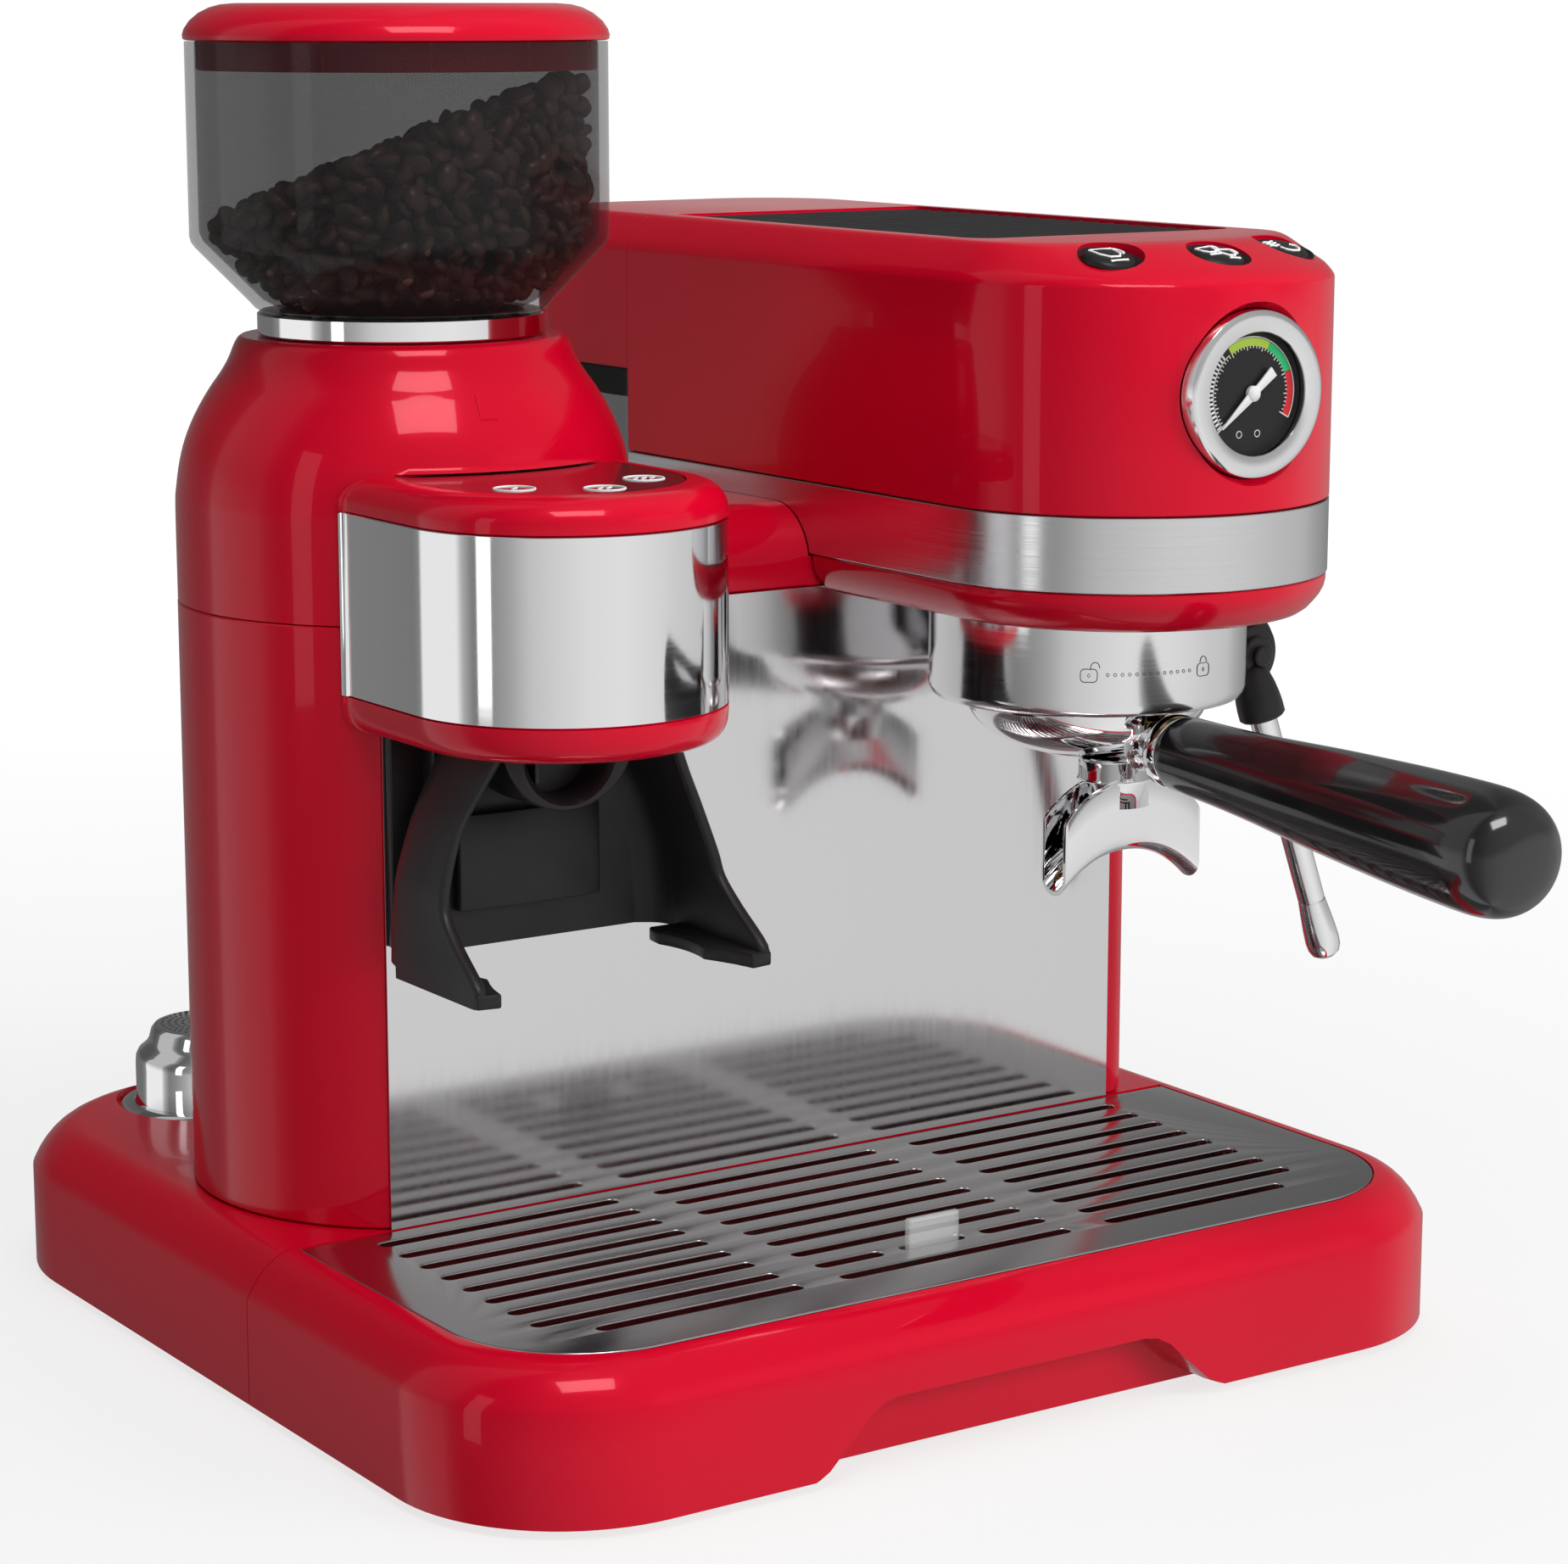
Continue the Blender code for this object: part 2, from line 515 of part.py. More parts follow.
def make_head():
    low, shoulder, top = HEAD_Z
    shell = loft("head_shell", [(low, head_outline()), (shoulder, head_outline()), (top, head_roof())],
                 finish="red")
    back = 97.85 - WALL
    cut(shell, loft("head_hollow", [(230, head_outline(WALL, back)),
                                    (shoulder - WALL, head_outline(WALL, back)),
                                    (top - WALL, head_roof(WALL, back))]))
    cut(shell, box("cup_room", (31, -62, 300), (121.4, 92, 315)))
    cut(shell, turned("gauge_hole", [(0, 15), (22.8, 15), (22.8, -15), (0, -15)], 32,
                      (HEAD_X, -124, GAUGE_Z), (90, 0, 0)))
    cut(shell, turned("knob_hole", [(0, 10), (4.8, 10), (4.8, -10), (0, -10)], 12,
                      (133, 20, 262), (0, 90, 0)))
    for name, (x, y) in BUTTONS.items():
        cut(shell, turned("hole_" + name, [(0, 8), (7.9, 8), (7.9, -9), (0, -9)], 20, (x, y, BUTTON_Z),
                          (BUTTON_TILT, 0, 0)))
        cap = [(0, 1.7), (5.5, 1.4), (7.2, 0.7), (7.5, -0.2), (7.5, -5), (0, -5)]
        turned(name, cap, 20, (x, y, BUTTON_Z), (BUTTON_TILT, 0, 0), finish="gloss_black")

    slab("head_band", strip(head_outline(), head_outline(1.2)), 217.9, 238.2, finish="brushed")
    flare = ((50, 206.6), (54.5, 209.5), (57.2, 213.5), (57.9, 217.6))
    skirt = loft("head_skirt", [(z, stadium(HEAD_X, HEAD_Y, r, FRONT_PARTS_Y)) for r, z in flare],
                 finish="red")
    cut(skirt, slab("skirt_hollow", stadium(HEAD_X, HEAD_Y, 50, FRONT_PARTS_Y - WALL), 209.8, 225))
    cut(skirt, turned("group_way", [(0, 220), (38.2, 220), (38.2, 200), (0, 200)], 32, (*GROUP, 0)))
    cut(skirt, turned("post_way", [(0, 210.4), (3.8, 210.4), (3.8, 200), (0, 200)], 12, (*WAND_POST, 0)))

    ribs = 22
    pitch = 153.4 / ribs
    comb = [(-61.7, 303.5)]
    for i in range(ribs):
        y = -61.7 + pitch * i
        comb += [(y, 308.8), (y + pitch * 0.5, 308.8), (y + pitch * 0.5, 306.8), (y + pitch, 306.8)]
    comb += [(91.7, 303.5)]
    tray = slab("cup_tray", comb, 31.3, 121.1, "X", finish="black")
    join(tray, box("cup_flange", (29.6, -61, 303.2), (122.8, 91, 305.5)))


def make_gauge():
    """Everything on the gauge is turned about the line through its middle that runs forward."""
    at, aim = (HEAD_X, -100.0, GAUGE_Z), (90, 0, 0)
    turned("gauge_case", [(0, 19.6), (17.4, 19.6), (17.4, 24.6), (18.6, 26), (21.8, 26), (22.5, 25.2),
                          (22.5, 20.8), (20, 20.8), (20, 2), (0, 2)], 32, at, aim, "polished")
    turned("gauge_dial", [(0, 20.7), (17.1, 20.7), (17.1, 19.9), (0, 19.9)], 32, at, aim, "black")
    turned("gauge_lens", [(0, 25.0), (17.1, 25.0), (17.1, 24.0), (0, 24.0)], 32, at, aim, "clear")
    hub = turned("gauge_needle", [(0, 22.8), (2.2, 22.8), (2.2, 21.4), (0, 21.4)], 16, at, aim, "white")
    blade = [(-1.1, -5.5), (1.1, -5.5), (0.9, 0), (0.25, 14.5), (-0.25, 14.5), (-0.9, 0)]
    needle = slab("needle_blade", blade, -0.35, 0.35, "Y", (HEAD_X, -122.1, GAUGE_Z))
    needle.rotation_euler = (0, math.radians(-130), 0)
    join(hub, needle)


def make_group():
    at = (*GROUP, 0)
    turned("group_cover", [(44.9, 206.3), (44.9, 182.5), (44.2, 180.6), (43.4, 180.2), (43.4, 204.8),
                           (38.2, 204.8), (38.2, 206.3)], 32, at, finish="chrome")
    turned("group_head", [(37.5, 216), (37.5, 204.4), (42.8, 204.4), (42.8, 183), (39.3, 183), (39.3, 196),
                          (4, 196), (4, 216)], 32, at, finish="brass")
    turned("group_gasket", [(36, 195.7), (36, 190.2), (28.8, 190.2), (28.8, 195.7)], 28, at, finish="rubber")
    turned("shower_screen", [(0, 195.7), (28.4, 195.7), (28.4, 191.4), (27, 190.5), (0, 190.5)], 28, at,
           finish="brushed")


def make_portafilter():
    at = (*GROUP, 0)
    bowl = turned("portafilter", [(0, 188.6), (34.7, 188.6), (34.7, 180), (33.2, 176), (29.8, 171.2),
                                  (22.5, 166.4), (12.6, 163.5), (0, 163.5)], 32, at, finish="chrome")
    for side in (-1, 1):
        ear = sorted((side * 30.0, side * 37.9))
        join(bowl, box("ear", (ear[0], -8, 183.5), (ear[1], 8, 187.5), at))
    aim = (90 + GRIP_DROP, 0, 0)
    neck = [(0, 0), (9.4, 0), (10.4, -1.5), (10.4, -4.5), (8.6, -6.5), (6.4, -9), (6.6, -15.5), (0, -15.5)]
    join(bowl, turned("neck", neck, 20, GRIP_START, aim))
    cut(bowl, turned("bowl_room", [(0, 195), (32.4, 195), (32.4, 181), (30.3, 176.5), (28.8, 173),
                                   (22, 168.9), (12, 166.6), (3, 166.2), (3, 150), (0, 150)], 32, at))
    turned("filter_basket", [(0, 174.4), (27.4, 174.4), (30.9, 189.9), (34.5, 189.9), (34.5, 188.9),
                             (31.6, 188.9), (28.2, 173.6), (0, 173.6)], 32, at, finish="polished")
    grip = [(0, GRIP_LEN), (6.5, 136), (12, 132.6), (15.6, 127), (16.8, 119), (16.6, 104), (15, 76),
            (12.8, 44),
            (11.2, 20), (10.4, 4), (9.6, GAP), (0, GAP)]
    turned("portafilter_grip", grip, 24, GRIP_START, aim, "gloss_black")

    make_spout()


def spout_section(u):
    """Ring of (y, z) across the trough at u, from -1 at one end to 1 at the other."""
    base = 142.1 - 10.5 * abs(u) ** 2.2
    top = 146.7 + 11.6 * max(0.0, 1 - u * u) ** 0.8
    front, rear, middle = -75.0, -64.0, -69.5
    outer = [(front, top)] + arc(middle, base, 5.5, 180, 360, 6, 5.0) + [(rear, top)]
    inner = [(rear - 1.3, top)] + arc(middle, base, 4.2, 360, 180, 6, 3.7) + [(front + 1.3, top)]
    return outer + inner


def make_spout():
    """An open trough bent into an arch, with a closed hub and a short stem in the middle."""
    bm = bmesh.new()
    rings = []
    for i in range(15):
        u = -math.cos(math.pi * i / 14)
        rings.append([bm.verts.new((SPOUT_X + SPOUT_HALF * u, y, z)) for y, z in spout_section(u)])
    for a, b in zip(rings, rings[1:]):
        for i in range(len(a)):
            bm.faces.new((a[i], b[i], b[i - 1], a[i - 1]))
    bm.faces.new(rings[0])
    bm.faces.new(rings[-1][::-1])
    spout = from_bmesh("portafilter_spout", bm, finish="chrome")
    join(spout, box("spout_hub", (SPOUT_X - 8.8, -74.4, 141), (SPOUT_X + 8.8, -64.6, 157.2)))
    join(spout, turned("spout_stem", [(0, 163.2), (7.5, 163.2), (7.5, 150), (0, 150)], 16, (SPOUT_X, -66, 0)))


# ---------------------------------------------------------------- inside the body and head

def make_water_path():
    at = (*HOSE_XY, 0)
    turned("pump", [(18, 150), (18, 84), (8, 84), (8, 72), (3, 72), (3, 96), (7.3, 96), (7.3, 140), (3, 140),
                    (3, 160), (8, 160), (8, 150)], 20, at, finish="black")
    turned("pump_plunger", [(0, 131), (7, 131), (7, 98), (0, 98)], 16, at, finish="plunger")
    tube("hose_pump_boiler", [(100, 60, 160.4), (100, 60, 200), (100, 60, 222.5)], 3.0, finish="silicone")
    block = box("thermoblock", (42, -14, 223), (112, 74, 262), finish="aluminium")
    join(block, turned("heater_neck", [(0, 275), (14, 275), (14, 255), (0, 255)], 20, (76, 30, 0)))
    box("control_board", (30, 90, 90), (80, 91.6, 180), finish="green")


def make_wand():
    x, y, z = WAND_PIVOT
    mount = turned("wand_mount", [(0, 5), (9.5, 5), (9.5, 0), (0, 0)], 20, (x, y + 5, z), (90, 0, 0),
                   "black")
    join(mount, box("mount_arm", (121.7, y + 2, z - 4), (x, y + 7, z + 4)))
    join(mount, turned("mount_post", [(0, 210), (3.5, 210), (3.5, z - 3), (0, z - 3)], 12, (*WAND_POST, 0)))
    steps = [(0, 10.5), (3, 10.5), (3, 9.4), (5.5, 9.4), (5.5, 8.2), (8, 8.2), (8, 7.0), (10.3, 6.4),
             (10.5, 0), (0, 0)]
    hub = turned("wand_elbow", steps, 24, (x, y - GAP, z), (90, 0, 0), "black")
    reach = Vector(WAND_TIP) - Vector(WAND_TOP)
    lean = reach.to_track_quat("Z", "Y").to_euler()
    degrees = [math.degrees(a) for a in lean]
    skirt = [(0, 1.2), (7.2, 1.2), (7.2, -3), (6.2, -10), (5, -15), (0, -15)]
    join(hub, turned("elbow_skirt", skirt, 20, WAND_TOP, degrees))
    length = reach.length
    pipe = [(0, length), (2.2, length), (4.4, length - 3.5), (4.6, length - 12), (3.9, length - 20),
            (3.6, length - 22), (3.6, 1.6), (0, 1.6)]
    turned("steam_wand", pipe, 18, WAND_TOP, degrees, "chrome")
    turned("steam_knob", [(0, 18), (12, 18), (14, 16), (14, 1), (10, 0), (4, 0), (4, -18), (0, -18)], 24,
           (134.9, 20, 262), (0, 90, 0), "black")


make_base()
make_tray()
make_grille()
make_stored_basket()
make_body()
make_rear_fittings()
make_tank()
make_grinder_tower()
make_drum()
make_chute()
make_fork()
make_head()
make_gauge()
make_group()
make_portafilter()
make_water_path()
make_wand()
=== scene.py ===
"""Looks of the espresso machine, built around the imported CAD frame.

Shapes are written in millimetres from the foot of the splash panel, as in the CAD: x to the machine's right
as it faces you, y to its rear, z up from the bottom edge of the base wall. to_frame() takes them to metres.
"""

import math
import random

import bmesh
import bpy
import numpy as np
from mathutils import Matrix, Vector, noise


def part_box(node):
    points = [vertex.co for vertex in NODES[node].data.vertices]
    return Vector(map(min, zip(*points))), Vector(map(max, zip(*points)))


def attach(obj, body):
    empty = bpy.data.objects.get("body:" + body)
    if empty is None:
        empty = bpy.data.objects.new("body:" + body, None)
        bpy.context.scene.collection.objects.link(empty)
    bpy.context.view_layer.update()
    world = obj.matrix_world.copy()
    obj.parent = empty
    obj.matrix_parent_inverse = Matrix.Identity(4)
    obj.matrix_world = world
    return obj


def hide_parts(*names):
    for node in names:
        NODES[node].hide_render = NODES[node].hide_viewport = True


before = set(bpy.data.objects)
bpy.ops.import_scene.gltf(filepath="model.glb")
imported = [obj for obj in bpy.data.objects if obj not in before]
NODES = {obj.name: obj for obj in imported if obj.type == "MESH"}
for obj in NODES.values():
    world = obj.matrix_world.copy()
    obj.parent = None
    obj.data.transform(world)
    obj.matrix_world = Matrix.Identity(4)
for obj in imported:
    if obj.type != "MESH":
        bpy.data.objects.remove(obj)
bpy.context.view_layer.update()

MM = 0.001
SPLASH_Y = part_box("splash_panel")[1][1] / MM + 0.3
WALL_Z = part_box("base_rear")[0][2] / MM


def design(node):
    """A node's lowest and highest corner, in design millimetres."""
    low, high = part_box(node)
    return ([low[0] / MM, low[1] / MM - SPLASH_Y, low[2] / MM - WALL_Z],
            [high[0] / MM, high[1] / MM - SPLASH_Y, high[2] / MM - WALL_Z])


def middle(node):
    """The middle of a node's box in design millimetres: x, y and z."""
    return tuple((a + b) / 2 for a, b in zip(*design(node)))


TOWER = middle("hopper")[:2]
TOWER_R = 64.0
GROUP = middle("group_cover")[:2]
DRUM_R = (design("dose_drum")[1][0] - design("dose_drum")[0][0]) / 2
DRUM = (middle("dose_drum")[0], design("dose_drum")[0][1] + DRUM_R)
HEAD_X = middle("head_shell")[0]
HEAD_R = (design("head_shell")[1][0] - design("head_shell")[0][0]) / 2
HEAD_Y = design("head_shell")[0][1] + HEAD_R
HEAD_BACK = design("head_shell")[1][1]
HEAD_SHOULDER = 300.8
GAUGE_Z = middle("gauge_case")[2]
DECK_Z = design("base_rear")[1][2]


# ---------------------------------------------------------------- materials

def shader_of(mat):
    return mat.node_tree.nodes["Principled BSDF"]


def material(name, colour, rough, metal=0.0, **more):
    """A Principled material; more names its other sockets, with an underscore for a space."""
    made = bpy.data.materials.new(name)
    made.use_nodes = True
    sockets = {"Base_Color": (*colour, 1), "Roughness": rough, "Metallic": metal, **more}
    for socket, value in sockets.items():
        shader_of(made).inputs[socket.replace("_", " ")].default_value = value
    return made


def add_node(owner, kind, **values):
    """A node in the tree of a material or world, with its sockets or settings given by name."""
    node = owner.node_tree.nodes.new(kind)
    for key, value in values.items():
        if key in node.inputs:
            node.inputs[key].default_value = value
        else:
            setattr(node, key, value)
    return node


def link(owner, source, socket):
    owner.node_tree.links.new(source, socket)


def map_range(owner, source, low, high, start=0.0, stop=1.0):
    """The source taken from between start and stop to between low and high."""
    node = add_node(owner, "ShaderNodeMapRange")
    for socket, value in (("From Min", start), ("From Max", stop), ("To Min", low), ("To Max", high)):
        node.inputs[socket].default_value = value
    link(owner, source, node.inputs["Value"])
    return node.outputs["Result"]


def grain(mat, scale, detail=3.0):
    """Noise on the piece's own coordinates; scale may be one number or one per axis."""
    coords = add_node(mat, "ShaderNodeTexCoord")
    mapping = add_node(mat, "ShaderNodeMapping", Scale=scale if isinstance(scale, tuple) else (scale,) * 3)
    texture = add_node(mat, "ShaderNodeTexNoise", Scale=1.0, Detail=detail)
    link(mat, coords.outputs["Object"], mapping.inputs["Vector"])
    link(mat, mapping.outputs["Vector"], texture.inputs["Vector"])
    return texture.outputs["Fac"]


def bump(mat, height, strength, distance=0.0002):
    node = add_node(mat, "ShaderNodeBump", Strength=strength, Distance=distance)
    link(mat, height, node.inputs["Height"])
    link(mat, node.outputs["Normal"], shader_of(mat).inputs["Normal"])


def vary(mat, source, low, high):
    """Roughness between low and high, by the middle of the source's range."""
    link(mat, map_range(mat, source, low, high, 0.3, 0.7), shader_of(mat).inputs["Roughness"])


def vary_colour(mat, source, dark, light):
    mix = add_node(mat, "ShaderNodeMix", data_type="RGBA")
    colours = [i for i in mix.inputs if i.type == "RGBA"]
    colours[0].default_value = (*dark, 1)
    colours[1].default_value = (*light, 1)
    link(mat, source, mix.inputs["Factor"])
    result = [o for o in mix.outputs if o.type == "RGBA"][0]
    link(mat, result, shader_of(mat).inputs["Base Color"])


def red_gloss():
    """Red lacquer: deep colour, a reflection tinted by it, and a thin clear coat that shows at the edges."""
    mat = material("red_gloss", (0.60, 0.0012, 0.020), 0.20, Specular_IOR_Level=0.5,
                   Specular_Tint=(1.0, 0.06, 0.12, 1.0), Coat_Weight=0.30, Coat_Roughness=0.03)
    vary_colour(mat, grain(mat, 9.0), (0.58, 0.0010, 0.018), (0.63, 0.0014, 0.022))
    bump(mat, grain(mat, 420.0), 0.02)
    return mat


def steel(name, colour, low, high, scale, depth):
    """Brushed or polished metal: scale is fine across the strokes and coarse along them."""
    mat = material(name, colour, (low + high) / 2, 1.0)
    strokes = grain(mat, scale, 4.0)
    vary(mat, strokes, low, high)
    if depth:
        bump(mat, strokes, depth, 0.0001)
    return mat


def moulded(name, colour, low, high, depth, scale=1800.0, **more):
    mat = material(name, colour, (low + high) / 2, **more)
    vary(mat, grain(mat, 60.0), low, high)
    bump(mat, grain(mat, scale), depth)
    return mat


RED = red_gloss()
POLISHED = steel("polished_steel", (0.80, 0.80, 0.81), 0.05, 0.09, (30, 30, 900), 0.0)
PANEL = steel("splash_steel", (0.70, 0.69, 0.695), 0.085, 0.12, (900, 30, 30), 0.0)
BRUSHED = steel("brushed_steel", (0.68, 0.68, 0.69), 0.16, 0.25, (12, 12, 2600), 0.05)
BRUSHED_BRIGHT = steel("brushed_chrome", (0.80, 0.80, 0.81), 0.10, 0.17, (14, 14, 1600), 0.02)
GRILLE = steel("grille_steel", (0.56, 0.54, 0.545), 0.15, 0.24, (8, 2200, 2200), 0.04)
CHROME = steel("chrome", (0.84, 0.84, 0.85), 0.03, 0.06, (40, 40, 40), 0.0)
BLACK = moulded("black_plastic", (0.013, 0.012, 0.013), 0.36, 0.46, 0.10, Specular_IOR_Level=0.32)
BLACK_GLOSS = moulded("gloss_black", (0.010, 0.010, 0.011), 0.10, 0.16, 0.01, 900.0, Coat_Weight=0.5,
                      Coat_Roughness=0.04)
RUBBER = moulded("foot_rubber", (0.025, 0.025, 0.026), 0.75, 0.9, 0.25, 1200.0)
SMOKE = material("smoked_plastic", (0.012, 0.012, 0.013), 0.05, Alpha=0.47, Specular_IOR_Level=0.18)
vary(SMOKE, grain(SMOKE, 30.0), 0.03, 0.07)
CLEAR = material("clear_plastic", (0.80, 0.82, 0.82), 0.06, Alpha=0.28)
vary(CLEAR, grain(CLEAR, 200.0), 0.04, 0.09)
GLASS = material("gauge_glass", (0.02, 0.02, 0.02), 0.03, Alpha=0.05, Specular_IOR_Level=0.1)
vary(GLASS, grain(GLASS, 60.0), 0.02, 0.05)
WHITE = moulded("white_print", (0.86, 0.86, 0.86), 0.4, 0.5, 0.02)
# This dark material serves the engraved lock marks on the group ring, and the painted shade of the spare
# basket's holes.
DARK_MARK = moulded("engraved_mark_and_painted_hole_shade", (0.10, 0.10, 0.105), 0.4, 0.55, 0.02)
BRASS = steel("machined_brass", (0.62, 0.44, 0.18), 0.22, 0.36, (20, 20, 1800), 0.05)
CAST = steel("cast_aluminium", (0.52, 0.53, 0.54), 0.4, 0.6, (500, 500, 500), 0.4)
BURR = steel("burr_steel", (0.40, 0.40, 0.42), 0.22, 0.34, (900, 900, 60), 0.1)
BOARD = moulded("circuit_board", (0.02, 0.16, 0.06), 0.35, 0.5, 0.1)
SILICONE = moulded("silicone", (0.78, 0.76, 0.72), 0.4, 0.55, 0.05)
BEAN = material("coffee_bean", (0.18, 0.08, 0.05), 0.3, Specular_IOR_Level=1.0)
vary_colour(BEAN, grain(BEAN, 260.0), (0.07, 0.03, 0.02), (0.26, 0.125, 0.08))
vary(BEAN, grain(BEAN, 600.0), 0.24, 0.40)
GREEN = moulded("dial_green", (0.02, 0.50, 0.16), 0.4, 0.5, 0.02)
LIME = moulded("dial_lime", (0.42, 0.62, 0.06), 0.4, 0.5, 0.02)
DIAL_RED = moulded("dial_red", (0.65, 0.02, 0.03), 0.4, 0.5, 0.02)


# ---------------------------------------------------------------- mesh helpers

def to_frame(point):
    return Vector((point[0], point[1] + SPLASH_Y, point[2] + WALL_Z)) * MM


def new_object(name, data):
    obj = bpy.data.objects.new(name, data)
    bpy.context.scene.collection.objects.link(obj)
    return obj


def shade(mesh, degrees=30.0):
    """Smooth, except at edges sharper than this."""
    mesh.shade_smooth()
    mesh.set_sharp_from_angle(angle=math.radians(degrees))


def adopt(name, mesh, mat, smooth=30.0):
    """A new object from a mesh in design millimetres."""
    mesh.transform(Matrix.Translation((0, SPLASH_Y * MM, WALL_Z * MM)) @ Matrix.Scale(MM, 4))
    shade(mesh, smooth)
    mesh.materials.clear()
    mesh.materials.append(mat)
    return new_object(name, mesh)


def from_bmesh(name, bm, mat, smooth=30.0, move=None):
    bmesh.ops.recalc_face_normals(bm, faces=bm.faces)
    mesh = bpy.data.meshes.new(name)
    bm.to_mesh(mesh)
    bm.free()
    if move:
        mesh.transform(move)
    return adopt(name, mesh, mat, smooth)


def skin(bm, sections, close):
    """Faces between rings of points with equal counts, in order, and from the last to the first if closed."""
    rings = [[bm.verts.new(p) for p in ring] for ring in sections]
    for lower, upper in zip(rings, rings[1:] + (rings[:1] if close else [])):
        for i in range(len(lower)):
            j = (i + 1) % len(lower)
            bm.faces.new((lower[i], lower[j], upper[j], upper[i]))
    return rings


def loft(name, sections, mat, smooth=30.0, close=False):
    """Rings of 3-D points, skinned in order; closed into a loop, or capped at both ends."""
    bm = bmesh.new()
    rings = skin(bm, sections, close)
    if not close:
        bm.faces.new(rings[0][::-1])
        bm.faces.new(rings[-1])
    return from_bmesh(name, bm, mat, smooth)


def stack(outlines):
    """(z, outline) pairs as rings of points."""
    return [[(x, y, z) for x, y in outline] for z, outline in outlines]


def turned(name, profile, mat, at=(0, 0, 0), aim=(0, 0, 0), steps=96, wobble=None):
    """A profile of (radius, height) turned about Z; a radius of 0 closes it on the axis, else it is a ring.

    aim tips it about X, Y and Z in degrees, and wobble(angle, height) adds to its radius.
    """
    bm = bmesh.new()
    solid = profile[0][0] == 0
    rings = []
    for r, h in profile:
        if r == 0:
            rings.append([bm.verts.new((0, 0, h))])
            continue
        ring = []
        for i in range(steps):
            a = 2 * math.pi * i / steps
            reach = r + (wobble(a, h) if wobble else 0)
            ring.append(bm.verts.new((reach * math.cos(a), reach * math.sin(a), h)))
        rings.append(ring)
    pairs = list(zip(rings, rings[1:]))
    if not solid:
        pairs.append((rings[-1], rings[0]))
    for a, b in pairs:
        for i in range(steps):
            j = (i + 1) % steps
            if len(a) == 1 and len(b) == 1:
                continue
            if len(a) == 1:
                bm.faces.new((a[0], b[j], b[i]))
            elif len(b) == 1:
                bm.faces.new((a[i], a[j], b[0]))
            else:
                bm.faces.new((a[i], a[j], b[j], b[i]))
    turn = Matrix.Identity(4)
    for axis, degrees in zip("XYZ", aim):
        turn = Matrix.Rotation(math.radians(degrees), 4, axis) @ turn
    return from_bmesh(name, bm, mat, move=Matrix.Translation(at) @ turn)


def slab(name, outline, low, high, axis, mat, soft=0.0, move=None):
    """A flat outline extruded along an axis, its rims rounded by soft millimetres."""
    place = {"X": lambda u, v, w: (w, u, v), "Y": lambda u, v, w: (u, w, v), "Z": lambda u, v, w: (u, v, w)}
    bm = bmesh.new()
    face = bm.faces.new([bm.verts.new(place[axis](u, v, low)) for u, v in outline])
    lifted = bmesh.ops.extrude_face_region(bm, geom=[face], use_keep_orig=True)
    tops = [item for item in lifted["geom"] if isinstance(item, bmesh.types.BMVert)]
    bmesh.ops.translate(bm, verts=tops, vec=place[axis](0, 0, high - low))
    obj = from_bmesh(name, bm, mat, move=move)
    if soft:
        soften(obj, soft)
    return obj


def box(name, low, high, mat, soft=0.4, move=None):
    outline = [(low[0], low[1]), (high[0], low[1]), (high[0], high[1]), (low[0], high[1])]
    return slab(name, outline, low[2], high[2], "Z", mat, soft, move=move)


def soften(obj, width, segments=3, angle=35.0):
    bevel = obj.modifiers.new("soft_edges", "BEVEL")
    bevel.width = width * MM
    bevel.segments = segments
    bevel.limit_method = "ANGLE"
    bevel.angle_limit = math.radians(angle)
    bevel.harden_normals = True
    bevel.use_clamp_overlap = True
    return obj


def apply_modifiers(obj):
    mesh = bpy.data.meshes.new_from_object(obj.evaluated_get(bpy.context.evaluated_depsgraph_get()))
    old = obj.data
    obj.modifiers.clear()
    obj.data = mesh
    bpy.data.meshes.remove(old)
    return obj


def carve(obj, *cutters, how="DIFFERENCE"):
    for cutter in cutters:
        step = obj.modifiers.new("carve", "BOOLEAN")
        step.operation = how
        step.object = cutter
    apply_modifiers(obj)
    for cutter in cutters:
        bpy.data.objects.remove(cutter)
    shade(obj.data)
    return obj


def merge(name, objects):
    """Several pieces of one material made one mesh, each still a closed form."""
    bm = bmesh.new()
    for obj in objects:
        apply_modifiers(obj)
        bm.from_mesh(obj.data)
    mesh = bpy.data.meshes.new(name)
    bm.to_mesh(mesh)
    bm.free()
    shade(mesh)
    mesh.materials.append(objects[0].data.materials[0])
    for obj in objects:
        bpy.data.objects.remove(obj)
    return new_object(name, mesh)


def curve_mesh(curve, loops, cyclic):
    """The mesh of a curve drawn through loops of points in metres, with no two points in one place."""
    for loop in loops:
        line = curve.splines.new("POLY")
        line.points.add(len(loop) - 1)
        line.use_cyclic_u = cyclic
        for knot, point in zip(line.points, loop):
            knot.co = (*point, 1)
    temp = new_object(curve.name, curve)
    mesh = bpy.data.meshes.new_from_object(temp.evaluated_get(bpy.context.evaluated_depsgraph_get()))
    bpy.data.objects.remove(temp)
    bm = bmesh.new()
    bm.from_mesh(mesh)
    bmesh.ops.remove_doubles(bm, verts=bm.verts, dist=1e-7)
    bm.to_mesh(mesh)
    bm.free()
    return mesh


def wire(name, points, radius, mat, cyclic=False):
    """A round line through points in design millimetres."""
    curve = bpy.data.curves.new(name, "CURVE")
    curve.dimensions = "3D"
    curve.bevel_depth = radius * MM
    curve.bevel_resolution = 2
    curve.use_fill_caps = True
    mesh = curve_mesh(curve, [[to_frame(point) for point in points]], cyclic)
    mesh.shade_smooth()
    mesh.materials.clear()
    mesh.materials.append(mat)
    return new_object(name, mesh)


def show(obj, body, slot, *nodes):
    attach(obj, body)
    if nodes:
        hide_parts(*nodes)
    return obj


# ---------------------------------------------------------------- outlines, all anticlockwise

